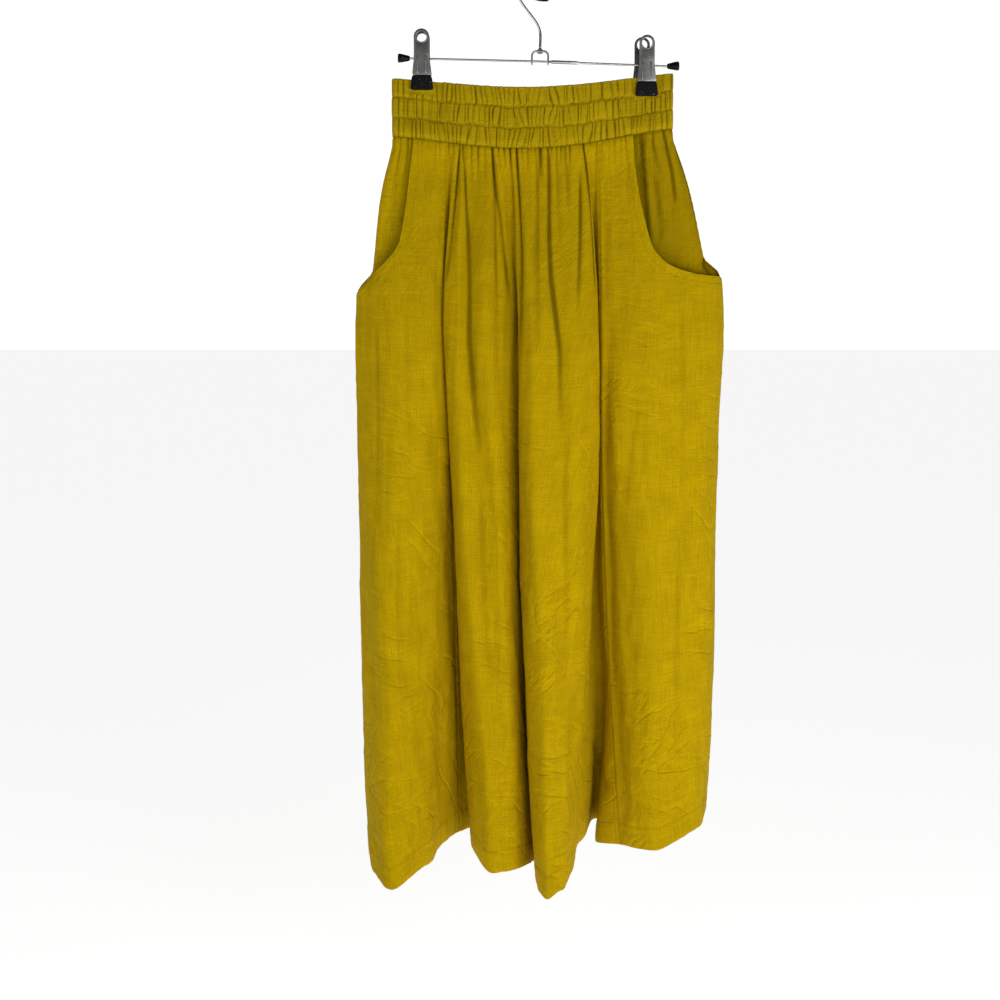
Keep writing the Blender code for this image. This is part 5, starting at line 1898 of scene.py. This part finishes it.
@dataclass
class Clip:
    """One clip: two pierced plates with rubber pads, and the spring between them."""

    hanger: Hanger
    label: str
    centre: float
    pad_foot: float
    back_shift: float  # how far its back plate is turned aside
    long: float = 48.0
    wide: Pair = (16.5, 20.0)  # at the finger end and at the pad
    thick: float = 0.9
    hole: float = 11.6
    narrows: float = 0.36  # share of its length over which a plate narrows
    lean: float = math.radians(3.0)
    soft: float = 0.16  # rounding of a plate's edges
    ribs: tuple[float, float, float] = (4.4, 0.8, 20.5)  # way from the middle, foot and head
    ear: Pair = (6.6, 13.5)  # way from the middle, and height
    spring_radius: float = 6.1
    spring_long: float = 13.0
    spring_wire: float = 0.62
    spring_turns: int = 7
    satin: Steel = field(default_factory=lambda: Steel("satin_plate", (0.24, 0.24, 0.235), 0.33))

    @property
    def middle(self) -> float:
        """How far in front of or behind the waistband's middle the plates and pads are centred."""
        return PINCHED + BAND_WALL / 2 + PAD_CLEAR + PAD_THICK / 2

    @property
    def eye(self) -> float:
        """How far up a plate its hole is centred."""
        return self.long - self.wide[0] / 2

    def arc(self, radius: float, count: int) -> list[Pair]:
        """Points round a plate's eye, a 24th of half a turn apart."""
        turns = [math.pi * n / 24 for n in range(count)]
        return [(radius * math.cos(turn), self.eye + radius * math.sin(turn)) for turn in turns]

    def outline(self) -> list[Pair]:
        """Outline of a plate.

        Returns:
            Its (across, up) points, from the pad's end round the finger end.
        """
        top, foot = self.wide[0] / 2, self.wide[1] / 2
        waist = self.long * self.narrows
        right = [(foot - 0.8, 0), (foot, 0.8), (foot, 3.0), (mix(foot, top, 0.5), waist * 0.62),
                 (top + 0.15, waist * 0.92), (top, waist + 4)]
        return right + self.arc(top, 25) + [(-x, z) for x, z in right[::-1]]

    def set_out(self, piece: Piece, side: Side) -> None:
        """Stand a plate that was made flat, facing up, where it goes.

        Args:
            piece: The plate.
            side: The clip's half that it belongs to.
        """
        shift = self.back_shift if side is Side.BACK else 0.0
        foot = self.pad_foot + PAD_HIGH + PAD_CLEAR
        piece.location = Vector((self.centre + shift, side.value * self.middle, foot)) * MM
        piece.rotation_euler = (math.pi / 2 - side.value * self.lean, 0, 0)
        Bench.settle(piece)

    def blank(self) -> Piece:
        """A plain plate with its round hole and softened edges, lying flat.

        Returns:
            The piece.
        """
        Bench.clear()
        bpy.ops.curve.primitive_bezier_circle_add()
        piece = bpy.context.active_object
        curve = piece.data
        curve.splines.clear()
        curve.dimensions = "2D"
        curve.fill_mode = "BOTH"
        curve.extrude = (self.thick / 2 - self.soft) * MM
        curve.bevel_depth = self.soft * MM
        curve.bevel_resolution = 2
        curve.offset = -self.soft * MM
        for outline in (self.outline(), self.arc(self.hole / 2, 48)):
            line = curve.splines.new("POLY")
            line.points.add(len(outline) - 1)
            line.use_cyclic_u = True
            for point, (x, z) in zip(line.points, outline):
                point.co = (x * MM, z * MM, 0, 1)
        Bench.take(piece)
        bpy.ops.object.convert(target="MESH")
        return Bench.outward(Bench.name("plate"), 0.00001)

    def rib(self, x: float, face: int) -> Piece:
        """One raised rib on a plate, with its round head.

        Args:
            x: How far it lies from the plate's middle.
            face: 1 on the upper face, -1 on the lower.

        Returns:
            The piece.
        """
        Bench.clear()
        bpy.ops.mesh.primitive_uv_sphere_add(segments=20, ring_count=14, radius=1)
        piece = Bench.name("rib")
        _, low, high = self.ribs
        half = (high - low) / 2
        for vertex in piece.data.vertices:
            ax, ay, az = vertex.co
            run = math.copysign(1, ay) * abs(ay) ** 0.35
            vertex.co = Vector((ax * 0.95 * (1.15 if ay > 0.75 else 1.0) + x, run * half + (low + high) / 2,
                                az * 0.8 + face * self.thick / 2)) * MM
        return piece

    def ring(self, face: int) -> Piece:
        """The rolled rim round a plate's hole.

        Args:
            face: 1 on the upper face, -1 on the lower.

        Returns:
            The piece.
        """
        Bench.clear()
        bpy.ops.mesh.primitive_torus_add(major_segments=64, minor_segments=14,
                                         major_radius=(self.hole / 2 + 0.35) * MM, minor_radius=0.72 * MM)
        piece = Bench.name("hole_rim")
        for vertex in piece.data.vertices:
            vertex.co += Vector((0, self.eye, face * (self.thick / 2 - 0.1))) * MM
        return piece

    def plate(self, side: Side) -> None:
        """One pierced plate with its ribs, rim and two side ears.

        Args:
            side: The clip's half that it belongs to.
        """
        face = -side.value
        parts = [self.blank(), self.ring(face)]
        parts += [self.rib(x, face) for x in (-self.ribs[0], self.ribs[0])]
        for x in (-self.ear[0], self.ear[0]):
            Bench.clear()
            bpy.ops.mesh.primitive_cube_add(size=1)
            ear = Bench.name("ear")
            for vertex in ear.data.vertices:
                ax, ay, az = vertex.co
                low = 3.2 if az * face < 0 else 0.0
                vertex.co = Vector((ax * 0.8 + x, ay * (8.5 - low) + self.ear[1],
                                    -face * (1.55 - az * face * 3.1))) * MM
            Bench.finish(ear, "BEVEL", width=0.25 * MM, segments=2)
            parts.append(ear)
        name = side.name.lower()
        piece = Bench.join(f"clip_{self.label}_{name}_plate", parts)
        self.set_out(piece, side)
        self.hanger.dress(Bench.soften(piece, 35), self.satin, f"clip_{self.label}_plate_{name}")

    def pad(self, side: Side) -> None:
        """One moulded rubber pad, a little narrower at its top, with rounded corners.

        Args:
            side: The clip's half that it belongs to.
        """
        name = side.name.lower()
        Bench.clear()
        bpy.ops.mesh.primitive_cube_add(size=1)
        piece = Bench.name(f"clip_{self.label}_pad_{name}_rubber")
        Bench.finish(piece, "BEVEL", width=0.13, segments=5)
        for vertex in piece.data.vertices:
            x, y, z = vertex.co
            wide = PAD_WIDE * mix(1.0, 0.87, smooth((z + 0.5) * 1.1))
            wide *= 1 - 0.05 * abs(z * 2) ** 3
            high = PAD_HIGH * (1 - 0.02 * abs(x * 2) ** 4)
            vertex.co = Vector((x * wide, y * PAD_THICK, z * high)) * MM
        piece.location = Vector((self.centre, side.value * self.middle, self.pad_foot + PAD_HIGH / 2)) * MM
        Bench.settle(piece)
        node = f"clip_{self.label}_pad_{name}"
        self.hanger.dress(Bench.soften(piece, 50), Rubber("black_pad_rubber"), node)

    def spring(self) -> None:
        """The coiled spring round the rod, with a short leg under each plate."""
        turns, steps, wire = self.spring_turns, 26, self.spring_wire
        radius = self.spring_radius - wire - 0.1
        path = []
        for n in range(turns * steps + 1):
            share = n / (turns * steps)
            angle = 2 * math.pi * turns * share + math.pi / 2
            x = self.centre + (share - 0.5) * (self.spring_long - 2 * wire)
            path.append((x, -math.cos(angle) * radius, self.hanger.rod_height(x) + math.sin(angle) * radius))
        first, last = path[0], path[-1]
        path = [(first[0], first[1] + 4.4, first[2] + 0.4), *path, (last[0], last[1] - 4.4, last[2] + 0.4)]
        spring = Bench.wire(f"clip_{self.label}_spring_coil", path, [wire] * len(path), 3)
        self.hanger.dress(Bench.soften(spring, 60), Steel("spring_steel", (0.40, 0.40, 0.39), 0.3),
                          f"clip_{self.label}_spring")

    def build(self) -> None:
        """Build both halves and the spring."""
        for side in Side:
            self.plate(side)
            self.pad(side)
        self.spring()


# ------------ the studio
@dataclass
class Studio:
    """Pale floor, soft light and the photograph's camera."""

    floor_height: float = -1.16
    place: tuple[float, float, float] = (-0.0427, -1.85, -0.3624)
    tilt: float = 6.5  # degrees that the camera looks down
    lens: float = 61.04
    ambient: float = 0.15
    backdrop: float = 1.05
    # Each light's place, aim, size and power.
    key: tuple = ((0.74, -1.3, -0.62), (0, 0, -0.54), 0.9, 9.9)
    fill: tuple = ((-1.3, -1.5, -0.5), (0, 0, -0.55), 1.2, 4.7)

    def floor(self) -> None:
        """The pale floor under the skirt."""
        Bench.clear()
        bpy.ops.mesh.primitive_plane_add(size=60, location=(0, 0, self.floor_height))
        floor = Bench.name("pale_floor")
        Bench.settle(floor)
        floor.data.materials.append(Plaster().make())
        floor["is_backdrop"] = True

    def light(
        self, title: str, place: Row, aim: Row, size: float, power: float
    ) -> None:
        """One large soft light.

        Args:
            title: Its name.
            place: Where it stands.
            aim: The place to which it is turned.
            size: Its width in metres.
            power: Its power in watts.
        """
        Bench.clear()
        bpy.ops.object.light_add(type="AREA", location=place)
        lamp = bpy.context.active_object
        lamp.name = title
        lamp.data.shape = "DISK"
        lamp.data.size = size
        lamp.data.energy = power
        lamp.visible_camera = False
        lamp.rotation_euler = (Vector(aim) - Vector(place)).to_track_quat("-Z", "Y").to_euler()

    def sky(self) -> None:
        """A white background that lights the skirt softly."""
        world = bpy.data.worlds.new("white_studio")
        bpy.context.scene.world = world
        world.use_nodes = True
        nodes, links = world.node_tree.nodes, world.node_tree.links
        soft = nodes["Background"]
        soft.inputs["Color"].default_value = (1, 1, 1, 1)
        soft.inputs["Strength"].default_value = self.ambient
        seen = nodes.new("ShaderNodeBackground")
        seen.inputs["Color"].default_value = (1, 1, 1, 1)
        seen.inputs["Strength"].default_value = self.backdrop
        path = nodes.new("ShaderNodeLightPath")
        blend = nodes.new("ShaderNodeMixShader")
        links.new(path.outputs["Is Camera Ray"], blend.inputs[0])
        links.new(soft.outputs[0], blend.inputs[1])
        links.new(seen.outputs[0], blend.inputs[2])
        links.new(blend.outputs[0], nodes["World Output"].inputs["Surface"])

    def camera(self) -> None:
        """The camera at the photograph's place and angle."""
        Bench.clear()
        bpy.ops.object.camera_add(location=self.place, rotation=(math.radians(90 - self.tilt), 0, 0))
        camera = bpy.context.active_object
        camera.name = "photo_camera"
        camera.data.lens = self.lens
        camera.data.sensor_width = 36
        camera.data.clip_end = 50
        bpy.context.scene.camera = camera

    def build(self) -> None:
        """Set everything up."""
        self.camera()
        self.floor()
        self.sky()
        self.light("key_light", *self.key)
        self.light("fill_light", *self.fill)
        bpy.context.scene.view_settings.view_transform = "Standard"


# ------------ assembly
RIGHT_YOKE_CREASES = tuple(Crease(*row) for row in (
    (((112.5, -178), (117.5, -242), (121.5, -292)), -3, 2.2, 20),
    (((107.5, -178), (112, -242), (116, -290)), 3.4, 2.4, 20),
    (((131.6, -174), (141.5, -216), (146, -250)), 2.6, 2.2, 26),
    (((137, -174), (148, -230), (152, -280)), -1.6, 3.4, 30),
))
LEFT_YOKE_CREASES = (Crease(((-150.0, -190.0), (-158.0, -300.0)), 0.7, 3.0, 40),)
# The waistband's linen tones are darker than the skirt's: painted shade for its many small gathers.
BAND_LIGHT, BAND_DARK, BAND_ROWS = (0.51, 0.350, 0.003), (0.28, 0.192, 0.0025), (19.9, 20.7, 40.6, 41.4)
RIM_ROW, SEAM_ROWS = (6.6,), (1.3, 4.9)


def extent() -> list[list[float]]:
    """The two corners of the box round all that is there, in metres."""
    return [[round(float(value), 5) for value in corner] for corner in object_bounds()]


def main() -> list[list[float]]:
    """Build every piece in order.

    Returns:
        The CAD model's box, from before anything was added.
    """
    logging.basicConfig(level=logging.INFO, format="%(message)s", stream=sys.stdout, force=True)
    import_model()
    cad_box = extent()
    Studio().build()
    hanger = Hanger()
    hanger.hook()
    hanger.bracket()
    hanger.rod()
    Clip(hanger, "left", CLIP_LEFT, -133.0, 0.0).build()
    Clip(hanger, "right", CLIP_RIGHT, -139.5, -4.0).build()
    Waistband(finish=Linen("linen_waistband", BAND_LIGHT, BAND_DARK, sewing=Sewing(hem=BAND_ROWS))).build()
    form = SkirtForm()
    LOG.info("form ready")
    hem = (HEM_DEPTH,)
    Yoke(form, "yoke_left", "hip_yoke_left", "left_side", RIM_LEFT, (0.085, 0.25),
         Linen("linen_yoke_left"), 61, LEFT_YOKE_CREASES).build()
    Yoke(form, "yoke_right", "hip_yoke_right", "right_side", RIM_RIGHT, (0.12, 0.25),
         Linen("linen_yoke_right"), 62, RIGHT_YOKE_CREASES, 0.42).build()
    Panel(form, "back_panel_linen", "back_panel", "right_side", "left_side_again", (176, 268),
          (0.68, 0.82), 0.45, Linen("linen_back", sewing=Sewing(hem)), 71, BACK_CREASES,
          gather_narrow=1.5).build()
    Panel(form, "front_side_left_linen", "front_side_panel_left", "left_side", "left_seam", (214, 120),
          (0.24, 0.85), 0.13, Linen("linen_side_left", sewing=Sewing(hem, RIM_ROW)), 72, LEFT_CREASES,
          RIM_LEFT, gather_depth=1.4).build()
    Panel(form, "front_side_right_linen", "front_side_panel_right", "right_seam", "right_side", (222, 124),
          (0.19, 0.84), 0.125, Linen("linen_side_right", sewing=Sewing(hem, RIM_ROW)), 73, RIGHT_CREASES,
          RIM_RIGHT, gather_depth=1.4).build()
    Panel(form, "front_centre_linen", "front_centre_panel", "left_seam", "right_seam", (186, 258),
          (0.57, 0.84), 0.34, Linen("linen_centre", sewing=Sewing(hem, (), SEAM_ROWS, SEAM_ROWS)), 74,
          CENTRE_CREASES, gather_pitch=6.4).build()
    return cad_box


if __name__ == "__main__":
    box = main()
